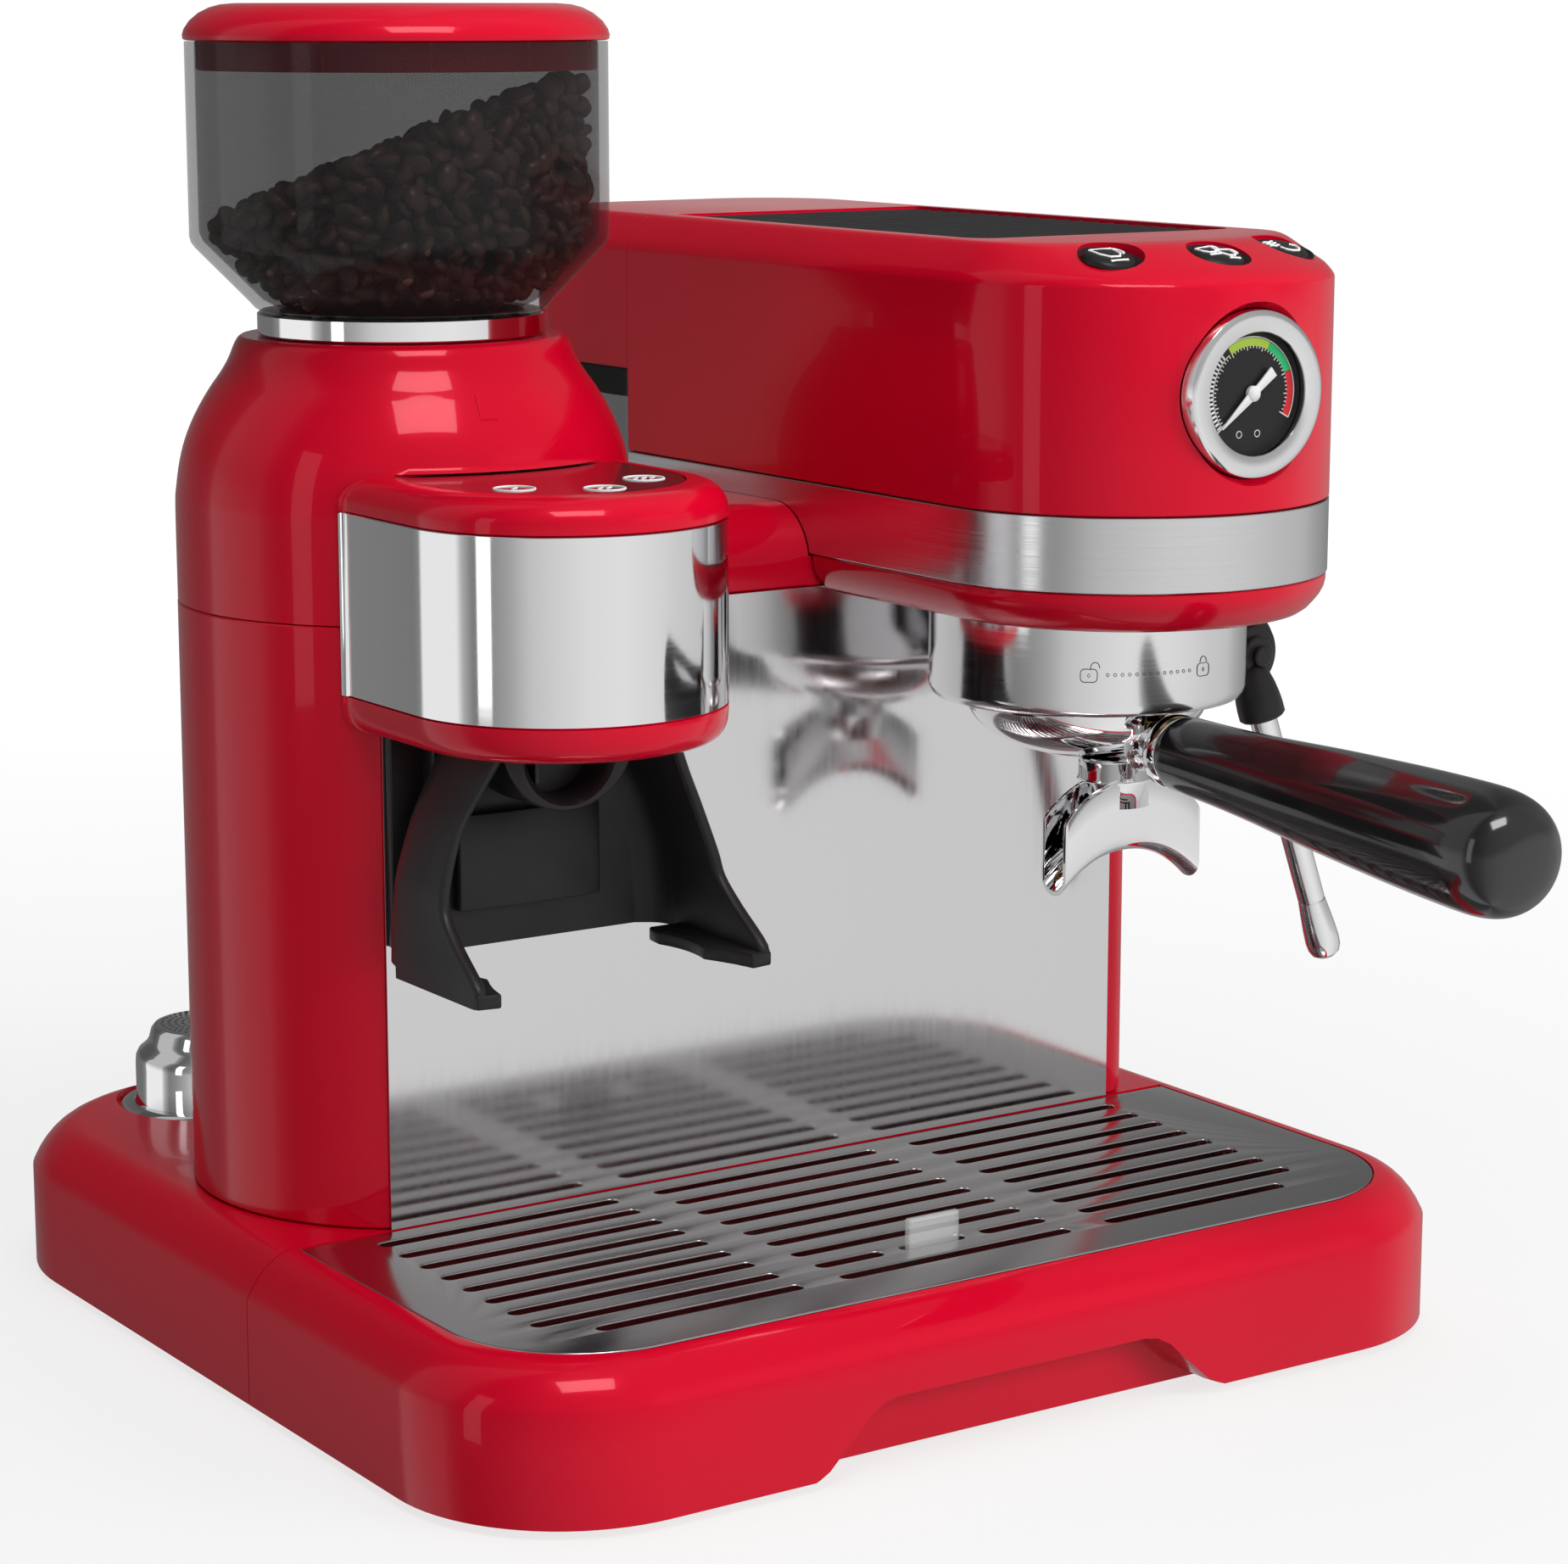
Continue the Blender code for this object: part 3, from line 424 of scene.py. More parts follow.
def shifted(r, z, steps):
    """A profile given by its steps from the corner at r, z."""
    return [(r + dr, z + dz) for dr, dz in steps]


def polar(centre, r, degrees, z):
    """A point round a centre, at 0 degrees to the right and -90 to the front."""
    a = math.radians(degrees)
    return (centre[0] + r * math.cos(a), centre[1] + r * math.sin(a), z)


def arc(cx, cy, r, start, end, n, ry=None):
    ry = r if ry is None else ry
    angles = [math.radians(start + (end - start) * i / n) for i in range(n + 1)]
    return [(cx + r * math.cos(a), cy + ry * math.sin(a)) for a in angles]


def rounded(x0, x1, y0, y1, front_r, rear_r, n=12):
    return (arc(x0 + front_r, y0 + front_r, front_r, 180, 270, n)
            + arc(x1 - front_r, y0 + front_r, front_r, 270, 360, n)
            + arc(x1 - rear_r, y1 - rear_r, rear_r, 0, 90, n)
            + arc(x0 + rear_r, y1 - rear_r, rear_r, 90, 180, n))


def front_u(half, front, back, r, n=20):
    return ([(-half, back)] + arc(-half + r, front + r, r, 180, 270, n)
            + arc(half - r, front + r, r, 270, 360, n) + [(half, back)])


def rear_u(half, front, rear, r, n=24):
    return ([(half, front)] + arc(half - r, rear - r, r, 0, 90, n)
            + arc(-half + r, rear - r, r, 90, 180, n) + [(-half, front)])


def stadium(cx, cy, r, back, n=64, ry=None):
    return [(cx - r, back)] + arc(cx, cy, r, 180, 360, n, ry) + [(cx + r, back)]


def body_outline(inset=0.0, n=72):
    r = TOWER_R - inset
    front, rear, right = inset, 98.0 - inset, 138.0 - inset
    corner = 8.0 - inset
    reach_front = math.sqrt(r * r - (TOWER[1] - front) ** 2)
    reach_rear = math.sqrt(r * r - (rear - TOWER[1]) ** 2)
    start = math.degrees(math.atan2(rear - TOWER[1], reach_rear))
    end = 180 + math.degrees(math.atan2(TOWER[1] - front, reach_front))
    return (arc(right - corner, front + corner, corner, 270, 360, 8)
            + arc(right - corner, rear - corner, corner, 0, 90, 8)
            + arc(TOWER[0], TOWER[1], r, start, end, n))


def shoulder(rings=8):
    """Inset and height up the base: a wall, a crease, then the upper part of an elliptical round."""
    crease, reach, start = 29.3, 15.0, math.radians(35)
    rise = [(0.0, 0.0), (0.0, 0.6), (0.0, crease)]
    for i in range(1, rings + 1):
        a = start + (math.pi / 2 - start) * i / rings
        inset = reach * (math.cos(start) - math.cos(a)) / math.cos(start)
        lift = (math.sin(a) - math.sin(start)) / (1 - math.sin(start))
        rise.append((inset, crease + (DECK_Z - crease) * lift))
    return rise


# ---------------------------------------------------------------- base

def make_base():
    half, rear_y = design("base_rear")[1][:2]
    front_y = design("drip_tray")[0][1]
    split = 0.2

    def rear_ring(i, z, wall=0.0):
        front = split + wall
        outline = rear_u(half - i - wall, front, rear_y - i - wall, 64 - i - wall)
        return [(x, max(y, front), z) for x, y in outline]

    inner = [rear_ring(i, min(z, 36.5), 3.2) for i, z in ((4.5, 36.5), (0, 30), (0, 0))]
    outer = [rear_ring(i, z) for i, z in shoulder()]
    rear = loft("rear_base", inner + outer, RED)
    carve(rear, turned("recess", [(0, 50), (29.6, 50), (29.2, 41.4), (28.6, 38.9), (0, 38.5)], RED,
                       (*middle("stored_basket")[:2], 0), steps=72))
    soften(rear, 0.5, 2, 50)
    show(rear, "machine", "red", "base_rear")

    walls = [(z, front_u(half - i, front_y + i, -split, 50 - i)) for i, z in shoulder()]
    tray = loft("drip_tray_body", stack(walls), RED)
    cuts = [
        slab("seat", front_u(149.9, -122.4, 5, 38.4), 39.7, 50, "Z", RED),
        slab("basin", rounded(-146, 146, -118, -6, 35, 8), 5, 45, "Z", RED),
        slab("plinth_room", front_u(155.8, -116.8, 5, 36), -5, 2.8, "Z", RED),
        loft("finger_cut", [[(x * 1.04 - 0.1, -141, z) for x, z in finger_outline(1.5)],
                            [(x, -132, z) for x, z in finger_outline(0)],
                            [(x, -123, z) for x, z in finger_outline(-0.5)]], RED),
    ]
    carve(tray, *cuts)
    soften(tray, 0.45, 2, 40)
    show(tray, "tray", "red", "drip_tray")


def finger_outline(grow):
    """The grip cut under the tray's front: straight top, sides sloping out and rounded where they turn."""
    top, foot = 18 + grow, -4
    points = [(-74 - grow, foot), (68 + grow, foot)]
    points += [(64 + grow, 0), (59, 2.2), (45, top - 3.2), (40.5, top - 0.8), (36, top)]
    points += [(-44, top), (-48.5, top - 0.8), (-53, top - 3.2), (-66, 2.2), (-70 - grow, 0)]
    return points


def slot_outline(x0, x1, y, width):
    r = width / 2
    return arc(x0 + r, y, r, 90, 270, 10) + arc(x1 - r, y, r, -90, 90, 10)


def grille_slots(width):
    slots = []
    for row in range(9):
        y = -10.6 - 11.57 * row
        for block, (x0, x1) in enumerate(((-130.0, -54.4), (-42.0, 34.2), (47.0, 123.0))):
            if row == 8:
                x0, x1 = max(x0, -117.5), min(x1, 111.0)
            if block == 1 and row == 7:
                slots += [(x0, -20.5, y), (-14.5, 6.5, y), (12.5, x1, y)]
            else:
                slots.append((x0, x1, y))
    return [slot_outline(x0, x1, y, width) for x0, x1, y in slots]


def make_grille():
    """A pressed plate: every edge is rolled, and each slot has a lip that turns down."""
    low, high = design("drip_grille")
    thick = high[2] - low[2]
    roll = 0.45
    curve = bpy.data.curves.new("grille_outline", "CURVE")
    curve.dimensions = "2D"
    curve.fill_mode = "BOTH"
    curve.extrude = (thick / 2 - roll) * MM
    curve.bevel_depth = roll * MM
    curve.bevel_resolution = 3
    curve.offset = -roll * MM
    outlines = [front_u(high[0], low[1], high[1], 38)] + grille_slots(4.6)
    mesh = curve_mesh(curve, [[(x * MM, y * MM, 0) for x, y in outline] for outline in outlines], True)
    mesh.transform(Matrix.Scale(1 / MM, 4))
    mesh.transform(Matrix.Translation((0, 0, (low[2] + high[2]) / 2)))
    bm = bmesh.new()
    bm.from_mesh(mesh)
    for outer, inner in zip(grille_slots(6.0), grille_slots(4.55)):
        lip = ((outer, low[2] + 0.3), (outer, low[2] - 1.6), (inner, low[2] - 2.0), (inner, high[2] - 0.35))
        skin(bm, stack([(z, path) for path, z in lip]), True)
    bmesh.ops.recalc_face_normals(bm, faces=bm.faces)
    bm.to_mesh(mesh)
    bm.free()
    plate = adopt("grille_plate", mesh, GRILLE, 40)
    show(plate, "grille", "brushed_steel", "drip_grille")


def make_float():
    """A clear tab that shows through its slot, on a block that floats in the tray."""
    low, high = design("tray_float")
    x, y = middle("tray_float")[:2]
    tab = box("float_tab", (x - 8.5, y - 1, low[2] + 6), (x + 8.5, y + 1, high[2]), CLEAR, 0.5)
    rim_ends = [(x + end, y - 1.15, high[2] - 0.7) for end in (-7.8, 7.8)]
    rim = wire("float_rim", rim_ends, 0.25, CLEAR)
    block = box("float_block", low, (high[0], high[1], low[2] + 7), CLEAR, 0.8)
    show(merge("float", [tab, rim, block]), "float", "clear_plastic", "tray_float")


def make_stored_basket():
    """A basket with its bottom up, and the holes in it as dark dots in rings: painted shade where the holes
    look into the unlit inside.
    """
    x, y = middle("stored_basket")[:2]
    top = design("stored_basket")[1][2]
    profile = shifted(0, top, [(0, 0), (15.6, 0), (17, -0.4), (18, -1.6), (18.8, -4.6), (19.8, -6.2),
                               (22, -8), (22.8, -9.6), (23, -12)])
    profile += [(23, 42), (23.5, 40.9), (24.5, 40.4), (27.4, 40.4), (28, 39.8), (28, 39.2), (27.6, 38.8),
                (22, 38.8), (21.9, 53), (18, 59.5), (16.8, 62.8), (0, 63.6)]
    cup = turned("spare_basket", profile, CHROME, (x, y, 0))
    show(cup, "spare_basket", "polished_steel", "stored_basket")
    # Each dot is painted shade: a dark disc standing for the unlit inside seen through a hole, not a cut
    # hole.
    dot = shifted(0, top, [(0, 0.06), (0.55, 0.06), (0.55, -0.3), (0, -0.3)])
    holes = [turned("hole", dot, DARK_MARK, polar((x, y), 2.1 * ring, 60 * i / ring, 0), steps=8)
             for ring in range(1, 8) for i in range(6 * ring)]
    show(merge("spare_basket_holes", holes), "spare_basket", "black_plastic")


# ---------------------------------------------------------------- body

def make_body():
    low, high = design("body_shell")
    wall = ((low[2], 0.6), (low[2] + 0.6, 0), (high[2] - 0.5, 0), (high[2], 0.4), (high[2], 3), (low[2], 3))
    shell = loft("tower_shell", stack([(z, body_outline(i)) for z, i in wall]), RED, close=True)
    show(shell, "machine", "red", "body_shell")

    low, high = design("body_top")
    ledge = [(0.3, low[2]), (0, low[2] + 0.4), (0, high[2] - 17),
             *arc(17.5, high[2] - 17.5, 17.5, 178, 92, 18),
             (22, high[2]), (97, high[2]), (97.85, high[2] - 0.8), (97.85, low[2])]
    top = slab("ledge", ledge, -40, 17.7, "X", RED)
    floor = slab("ledge_floor", [(138, 8), (138, 90), (130, 97.85), (17, 97.85), (17, 0.1), (130, 0.1)],
                 low[2], 217.3, "Z", RED)
    carve(top, floor, how="UNION")
    room = turned("tower_room", [(0, 260), (TOWER_R + 0.3, 260), (TOWER_R + 0.3, 200), (0, 200)], RED,
                  (*TOWER, 0), steps=128)
    carve(top, room)
    soften(top, 0.4, 2, 50)
    show(top, "machine", "red", "body_top")


def make_tank():
    low, high = design("water_tank")

    def ring(inset, z):
        sides = (low[0] + inset, high[0] - inset, low[1] + inset, high[1] - inset)
        return [(x, y, z) for x, y in rounded(*sides, max(4 - inset, 0.8), 28 - inset, 14)]
    path = [(0.8, low[2]), (0, low[2] + 0.8), (0, high[2] - 0.4), (0.4, high[2]), (2.1, high[2]),
            (2.5, high[2] - 0.4), (2.5, low[2] + 3.5), (3.5, low[2] + 2.5)]
    tank = loft("tank_wall", [ring(i, z) for i, z in path], SMOKE)
    show(tank, "tank", "smoked_plastic", "water_tank")
    path = shifted(0, high[2], [(2.8, -9), (2.8, -0.3), (4.4, -0.3), (4.4, -9)])
    collar = loft("tank_collar", [ring(i, z) for i, z in path], BLACK, close=True)
    show(collar, "tank", "black_plastic")

    low, high = design("tank_lid")

    def lid_ring(inset, z, wall=0.0):
        outline = rear_u(HEAD_R - inset, low[1] + wall, high[1] - inset, 38 - inset, 16)
        return [(HEAD_X + x, y, z) for x, y in outline]
    rise = [(0.6, low[2]), (0, low[2] + 0.6), *head_edge(high[2])]
    under = [lid_ring(3.4, z, 3.0) for z in (HEAD_SHOULDER - 4, low[2])]
    lid = loft("tank_cover_shell", under + [lid_ring(i, z) for i, z in rise], RED)
    soften(lid, 0.4, 2, 60)
    show(lid, "tank_cover", "red", "tank_lid")


def head_edge(top, reach=8.0, soft=2.2):
    """Inset and height over the head's upper edge: wall, a soft turn, the chamfer, a soft turn, flat."""
    rise = top - HEAD_SHOULDER
    length = math.hypot(reach, rise)
    ux, uz = reach / length, rise / length
    points = [(0.0, HEAD_SHOULDER - soft)]
    for t in (0.25, 0.5, 0.75, 1.0):
        points.append((ux * soft * t * t, HEAD_SHOULDER - soft * (1 - t) + uz * soft * t * t * 0.9))
    for t in (1.0, 0.75, 0.5, 0.25, 0.0):
        points.append((reach - ux * soft * t + (1 - t) * soft * 0.7, top - uz * soft * t * t))
    return points


# ---------------------------------------------------------------- grinder

# radius and height up the outside of the dome
DOME = [(63.9, 234), (63.5, 240), (62.4, 247), (60.6, 253.5), (57.8, 260), (54.0, 266.5), (50.6, 271.3),
        (48.3, 275.2), (46.7, 279), (45.6, 280.9), (44.6, 281.7)]


def make_grinder():
    low, high = design("grinder_housing")
    drum_top = design("dose_drum")[1][2]
    knots = [(DOME[0][0], low[2])] + DOME
    outer = smooth_profile(knots, 3)
    inner = [(r - 3.0, z - (1.0 if z > 245 else 0.0)) for r, z in knots[1:-1]][::-1]
    profile = outer + [(36.0, high[2]), (36.0, high[2] - 3)] + inner + [(60.9, low[2])]
    dome = turned("grinder_dome", profile, RED, (*TOWER, 0), steps=144)
    carve(dome, box("drum_room", (-140, -75, 195), (-8, -0.9, drum_top + 0.3), RED, 0))
    soften(dome, 0.5, 2, 45)
    show(dome, "machine", "red", "grinder_housing")

    mark = [wire("mark_a", [dome_point(-97, 269 - i) for i in range(7)], 0.30, RED),
            wire("mark_b", [dome_point(-97 + i, 262.6) for i in range(6)], 0.30, RED)]
    show(merge("grind_mark", mark), "machine", "red")

    low, high = design("hopper_ring")
    ring = turned("chrome_ring", [(39.2, high[2]), (40, high[2] - 0.7), (40, low[2] + 0.5), (39.5, low[2]),
                                  (34, low[2]), (34, high[2])], CHROME, (*TOWER, 0), steps=144)
    show(ring, "machine", "chrome", "hopper_ring")

    low, high = design("hopper")
    bowl = [(58, high[2]), (58, 309), (57.6, 307.4), (56.6, 306), (42, 291), (40.6, 289.4), (39.4, 288.7),
            (33, 288.7), (33, low[2]), (30, low[2]), (30, 287), (38.4, 291.6), (54.2, 307.6), (55.3, 310),
            (55.3, high[2])]
    hopper = turned("bean_hopper", bowl, SMOKE, (*TOWER, 0), steps=144)
    show(hopper, "hopper", "smoked_plastic", "hopper")

    low, high = design("hopper_lid")
    cap = shifted(0, high[2], [(0, 0), (44, -0.05), (48, -0.4), (51, -1.2), (54, -2.7), (56.5, -4.8),
                               (58, -7), (58.5, -8.6), (58.3, -9.7), (57.6, -10), (55, -10)])
    cap += [(54.9, low[2] + 0.4), (54.5, low[2]), (53.2, low[2]), (53, 367), (0, 369)]
    lid = turned("hopper_lid_cap", cap, RED, (*TOWER, 0), steps=144)
    ribs = []
    for i in range(12):
        a = 2 * math.pi * (i + 0.35) / 12
        turn = Matrix.Translation((*TOWER, 0)) @ Matrix.Rotation(a, 4, "Z")
        ribs.append(box("rib", (54.6, -0.5, low[2] + 0.5), (55.2, 0.5, 362), RED, 0.15, turn))
    show(merge("hopper_cover_all", [lid] + ribs), "hopper_cover", "red", "hopper_lid")


def smooth_profile(knots, n):
    """Catmull-Rom points through the knots."""
    points = []
    for i in range(len(knots) - 1):
        p0, p1 = knots[max(i - 1, 0)], knots[i]
        p2, p3 = knots[i + 1], knots[min(i + 2, len(knots) - 1)]
        for k in range(n):
            t = k / n
            points.append(tuple(
                0.5 * (2 * b + (c - a) * t + (2 * a - 5 * b + 4 * c - d) * t ** 2
                       + (3 * b - a - 3 * c + d) * t ** 3)
                for a, b, c, d in zip(p0, p1, p2, p3)))
    return points + [knots[-1]]


def dome_point(degrees, z):
    """A point on the dome's outside."""
    r = float(np.interp(z, [knot[1] for knot in DOME], [knot[0] for knot in DOME]))
    return polar(TOWER, r, degrees, z)


def drum_ring(r, z, fillet=4.0):
    """Round in front; the left side runs back and turns into the round tower through a small fillet."""
    reach, back, side = TOWER_R + 1.0, -1.2, -r - fillet
    corner = -math.sqrt(reach ** 2 - (TOWER[1] - back) ** 2)
    first = -math.degrees(math.acos(corner / reach))
    drop = math.sqrt((reach + fillet) ** 2 - side ** 2)
    meet = math.degrees(math.atan2(drop, -side))
    outline = (arc(*TOWER, reach, first, meet - 180, 6)
               + arc(TOWER[0] + side, TOWER[1] - drop, fillet, meet, 0, 5)
               + stadium(*DRUM, r, back, 96)[1:])
    return [(x, y, z) for x, y in outline]


def make_drum():
    bottom, top = (corner[2] for corner in design("dose_drum"))
    z0, z1 = (corner[2] for corner in design("dose_band"))
    R = DRUM_R
    rise = shifted(R, bottom, [(-5.4, 0), (-3.6, 0.5), (-2.1, 1.5), (-1.0, 2.9), (-0.3, 4.9), (0, 8)])
    rise += [(R, z0 - 0.5), (R - 0.5, z0 - 0.2), (R - 1.2, z0 - 0.1), (R - 1.2, z1 + 0.1),
             (R - 0.5, z1 + 0.2), (R, z1 + 0.5)]
    rise += shifted(R, top, [(0, -6.4), (-0.3, -5.2), (-1.0, -3.8), (-2.1, -2.3), (-3.6, -1.1), (-5.4, -0.35),
                             (-7.3, -0.05)])
    drum = loft("drum_shell", [drum_ring(r, z) for r, z in rise], RED)
    way = box("way", (DRUM[0] - 21.6, -37.4, bottom - 5), (DRUM[0] + 21.6, 5, bottom + 8), RED, 0)
    seat = slab("seat", stadium(DRUM[0], -30, 34.9, -3.2), top - 1.4, top + 4, "Z", RED)
    carve(drum, way, seat)
    show(drum, "machine", "red", "dose_drum")

    soft = 0.25
    rings = [(R - soft, z0), (R, z0 + soft), (R, z1 - soft), (R - soft, z1), (R - 0.9, z1), (R - 0.9, z0)]
    band = loft("drum_band", [drum_ring(r, z) for r, z in rings], POLISHED, close=True)
    show(band, "machine", "polished_steel", "dose_band")

    low, high = design("touch_panel")
    rings = [(34.6, low[2]), (34.6, high[2] - 0.3), (34.3, high[2])]
    glass = loft("touch_glass", stack([(z, stadium(DRUM[0], -30, r, -3.5)) for r, z in rings]), BLACK_GLOSS)
    show(glass, "machine", "gloss_black", "touch_panel")
    marks = []
    z = high[2] + 0.05
    for i, (dx, cy) in enumerate(((-19.4, -42.6), (0.6, -54.6), (20.6, -41.6))):
        cx = DRUM[0] + dx
        circle = [(x, y, z) for x, y in arc(cx, cy, 5.4, 0, 360, 40)[:-1]]
        marks.append(wire("ring", circle, 0.26, WHITE, True))
        for k in range(i + 1):
            x = cx + (k - i / 2) * 2.6
            marks.append(wire("bar", [(x - 1.3, cy - 1.0, z), (x + 1.3, cy + 1.0, z)], 0.25, WHITE))
    show(merge("touch_marks", marks), "machine", "white_plastic")


def u_shape(cx, cz, r, top, n=28):
    return [(cx - r, top)] + arc(cx, cz, r, 180, 360, n) + [(cx + r, top)]


def make_chute():
    low, high = design("grind_chute")
    x = DRUM[0]
    block = slab("chute_block", u_shape(x, 181.7, 21, high[2]), low[1], high[1], "Y", BLACK)
    soften(block, 0.9, 3, 50)
    apply_modifiers(block)
    mouth = loft("mouth", [[(u, y, v) for u, v in u_shape(x, 176.9, r, 196)]
                           for r, y in ((16.5, low[1] - 1.6), (12.9, low[1] + 1.6), (12.4, -26))], BLACK)
    carve(block, mouth, box("duct", (x - 11.5, -34, 184), (x + 11.5, -26, 215), BLACK, 0))
    tongue = box("tongue", (x - 9.5, -34.5, 168.5), (x - 7.9, -26.1, 181), BLACK)
    show(merge("chute", [block, tongue]), "machine", "black_plastic", "grind_chute")


# height, half distance between the arms, and how far forward the arm's front edge is
FORK_ARM = [(118.2, 45.5, -64.5), (123.5, 45.5, -64.5), (132.3, 45.0, -52.8), (139.2, 44.4, -45.4),
            (146.0, 43.3, -43.5), (159.7, 38.7, -42.2), (169.5, 33.7, -44.0), (179.9, 28.4, -46.9)]


def make_fork():
    """Back plate, two arms curving forward to the ledges that carry the portafilter, and a raised panel."""
    low, high = design("dose_fork")
    x, top, wall_y, wall_low, t = DRUM[0], high[2], -12.5, 121.3, 3.5
    rings = []
    for z, spread, front in smooth_profile(FORK_ARM, 4):
        inner = spread - t
        left = smooth_profile([(-spread + 10, wall_y + 3), (-spread + 3, -14), (-spread, -22)], 4)
        left += arc(-spread + t / 2, front + t / 2, t / 2, 180, 360, 8)
        left += smooth_profile([(-inner, -23), (-inner + 2, -16.5), (-inner + 7.5, wall_y)], 4)
        ring = left + [(-u, v) for u, v in left[::-1]]
        rings.append([(x + u, v, z) for u, v in ring])
    cradle = loft("cradle", rings, BLACK, 40)
    carve(cradle, box("under", (x - 60, -21.5, 110), (x + 60, 0, wall_low), BLACK, 0))
    parts = [cradle]
    for side in (-1, 1):
        foot = [(45.4, -22), (45.4, -65.2), (38.7, -66.3), (37.1, -59.6), (35.3, -54.4),
                *arc(0, -40, 34.7, -16.4, 20, 7), (33.4, -22)]
        foot = [(x + side * u, v) for u, v in foot]
        parts.append(slab("ledge", foot if side > 0 else foot[::-1], low[2], 122.1, "Z", BLACK, 0.7))
    parts.append(box("plate", (x - 36.5, -4, wall_low), (x + 36.5, high[1], top), BLACK, 0.6))
    parts.append(box("block", (x - 26.5, -10, wall_low), (x + 26.5, -3, top), BLACK, 0.6))
    bow = [(x - 22.3, -11), (x - 22.3, -14.6), (x - 21.6, -15.3), *arc(x, 275.9, 292, 265.8, 274.2, 10),
           (x + 21.6, -15.3), (x + 22.3, -14.6), (x + 22.3, -11)]
    parts.append(slab("panel", bow, 132, 158, "Z", BLACK, 0.5))
    show(merge("fork", parts), "machine", "black_plastic", "dose_fork")


# ---------------------------------------------------------------- brewing head

def head_ring(inset, z, front_extra=0.0):
    ry = HEAD_R - inset - front_extra
    return [(x, y, z) for x, y in stadium(HEAD_X, HEAD_Y, HEAD_R - inset, HEAD_BACK, 72, ry)]


def make_head():
    low, high = design("head_shell")
    rings = [head_ring(0.5, low[2]), head_ring(0, low[2] + 0.5)]
    rings += [head_ring(inset, z, inset / 8 * 17) for inset, z in head_edge(high[2])]
    under = [head_ring(3.2, z) for z in (HEAD_SHOULDER - 6, low[2])]
    shell = loft("head_cover", under + rings, RED)
    cuts = [slab("cup_room", rounded(31, 121.4, -62, 92, 7, 3, 8), 296, 320, "Z", RED),
            turned("gauge_hole", [(0, 15), (25.2, 15), (24.4, 1.0), (22.8, -1.6), (22.8, -15), (0, -15)], RED,
                   (HEAD_X, -124, GAUGE_Z), (90, 0, 0), 96),
            turned("knob_hole", [(0, 10), (4.8, 10), (4.8, -10), (0, -10)], RED, (133, 20, 262),
                   (0, 90, 0), 32)]
    hole = [(0, 8), (9.0, 8), (9.0, 0.4), (7.9, -0.7), (7.9, -9), (0, -9)]
    cuts += [turned("button_hole", hole, RED, button_at(name), (BUTTON_TILT, 0, 0), 64) for name in BUTTONS]
    carve(shell, *cuts)
    soften(shell, 0.35, 2, 45)
    show(shell, "machine", "red", "head_shell")

    low, high = design("head_band")
    soft = 0.25
    wall = ((soft, low[2]), (0, low[2] + soft), (0, high[2] - soft), (soft, high[2]), (1.2, high[2]),
            (1.2, low[2]))
    band = loft("steel_band", [head_ring(inset, z) for inset, z in wall], BRUSHED, close=True)
    show(band, "machine", "brushed_steel", "head_band")

    low, high = design("head_skirt")
    flare = shifted(0, low[2], [(50, 0), (51.4, 0.25), (53.4, 1.6), (55.0, 3.4), (56.4, 5.2), (57.4, 7.2),
                                (57.8, 9)]) + [(57.8, high[2] - 0.3), (57.5, high[2])]
    rings = [[(x, y, z) for x, y in stadium(HEAD_X, HEAD_Y, r, high[1], 72)] for r, z in flare]
    skirt = loft("group_skirt", rings, RED)
    way = turned("group_way", [(0, 230), (38.2, 230), (38.2, 200), (0, 200)], RED, (*GROUP, 0))
    carve(skirt, way)
    show(skirt, "machine", "red", "head_skirt")
    make_cup_tray()
    make_knob()


def make_cup_tray():
    low, high = design("cup_tray")
    parts = [box("rib_floor", (31.4, -61.6, low[2]), (121.0, 91.6, low[2] + 3), BLACK, 0.5)]
    ribs, front, back = 22, -58.5, 88.5
    pitch = (back - front) / (ribs - 1)
    for i in range(ribs):
        y = front + pitch * i
        profile = [(y - 1.6, low[2] + 2), (y + 1.6, low[2] + 2), (y + 1.6, high[2] - 1.2),
                   *arc(y, high[2] - 1.2, 1.6, 10, 170, 6, 1.2), (y - 1.6, high[2] - 1.2)]
        left, right = 33.5 if 0 < i < ribs - 1 else 37, 118.9 if i else 115
        parts.append(slab("rib", profile, left, right, "X", BLACK, 0.3))
    show(merge("warmer_grid", parts), "machine", "black_plastic", "cup_tray")


def make_knob():
    low, high = design("steam_knob")
    y, z = middle("steam_knob")[1:]
    back, face = 134.9, high[0]

    def grips(a, h):
        return -0.55 * max(0.0, math.cos(a * 18)) if 2 < h < 15.5 else 0.0
    profile = shifted(0, face - back, [(0, 0), (9, 0), (11.6, -0.5), (13.2, -2), (13.9, -4)])
    profile += [(14, 4.5), (14, 2), (13.4, 0.8), (10, 0.2), (4, 0), (4, low[0] - back), (0, low[0] - back)]
    knob = turned("steam_dial", profile, BLACK, (back, y, z), (0, 90, 0), 144, grips)
    show(knob, "knob", "black_plastic", "steam_knob")
    line = wire("steam_dial_line", [(face + 0.02, y, z + 5), (face - 0.3, y, z + 11)], 0.45, WHITE)
    show(line, "knob", "white_plastic")


BUTTON_TILT = 16.0
BUTTONS = {"button_one_cup": "one_cup_button", "button_two_cups": "two_cups_button",
           "button_steam": "steam_button"}


def button_at(node, down=1.7, length=6.7):
    """Where a button's axis meets the sloping panel: the cap's top is down over it, and its length under."""
    x, y, z = middle(node)
    t = math.radians(BUTTON_TILT)
    lift = length / 2 - down
    return Vector((x, y - math.sin(t) * lift, z + math.cos(t) * lift))


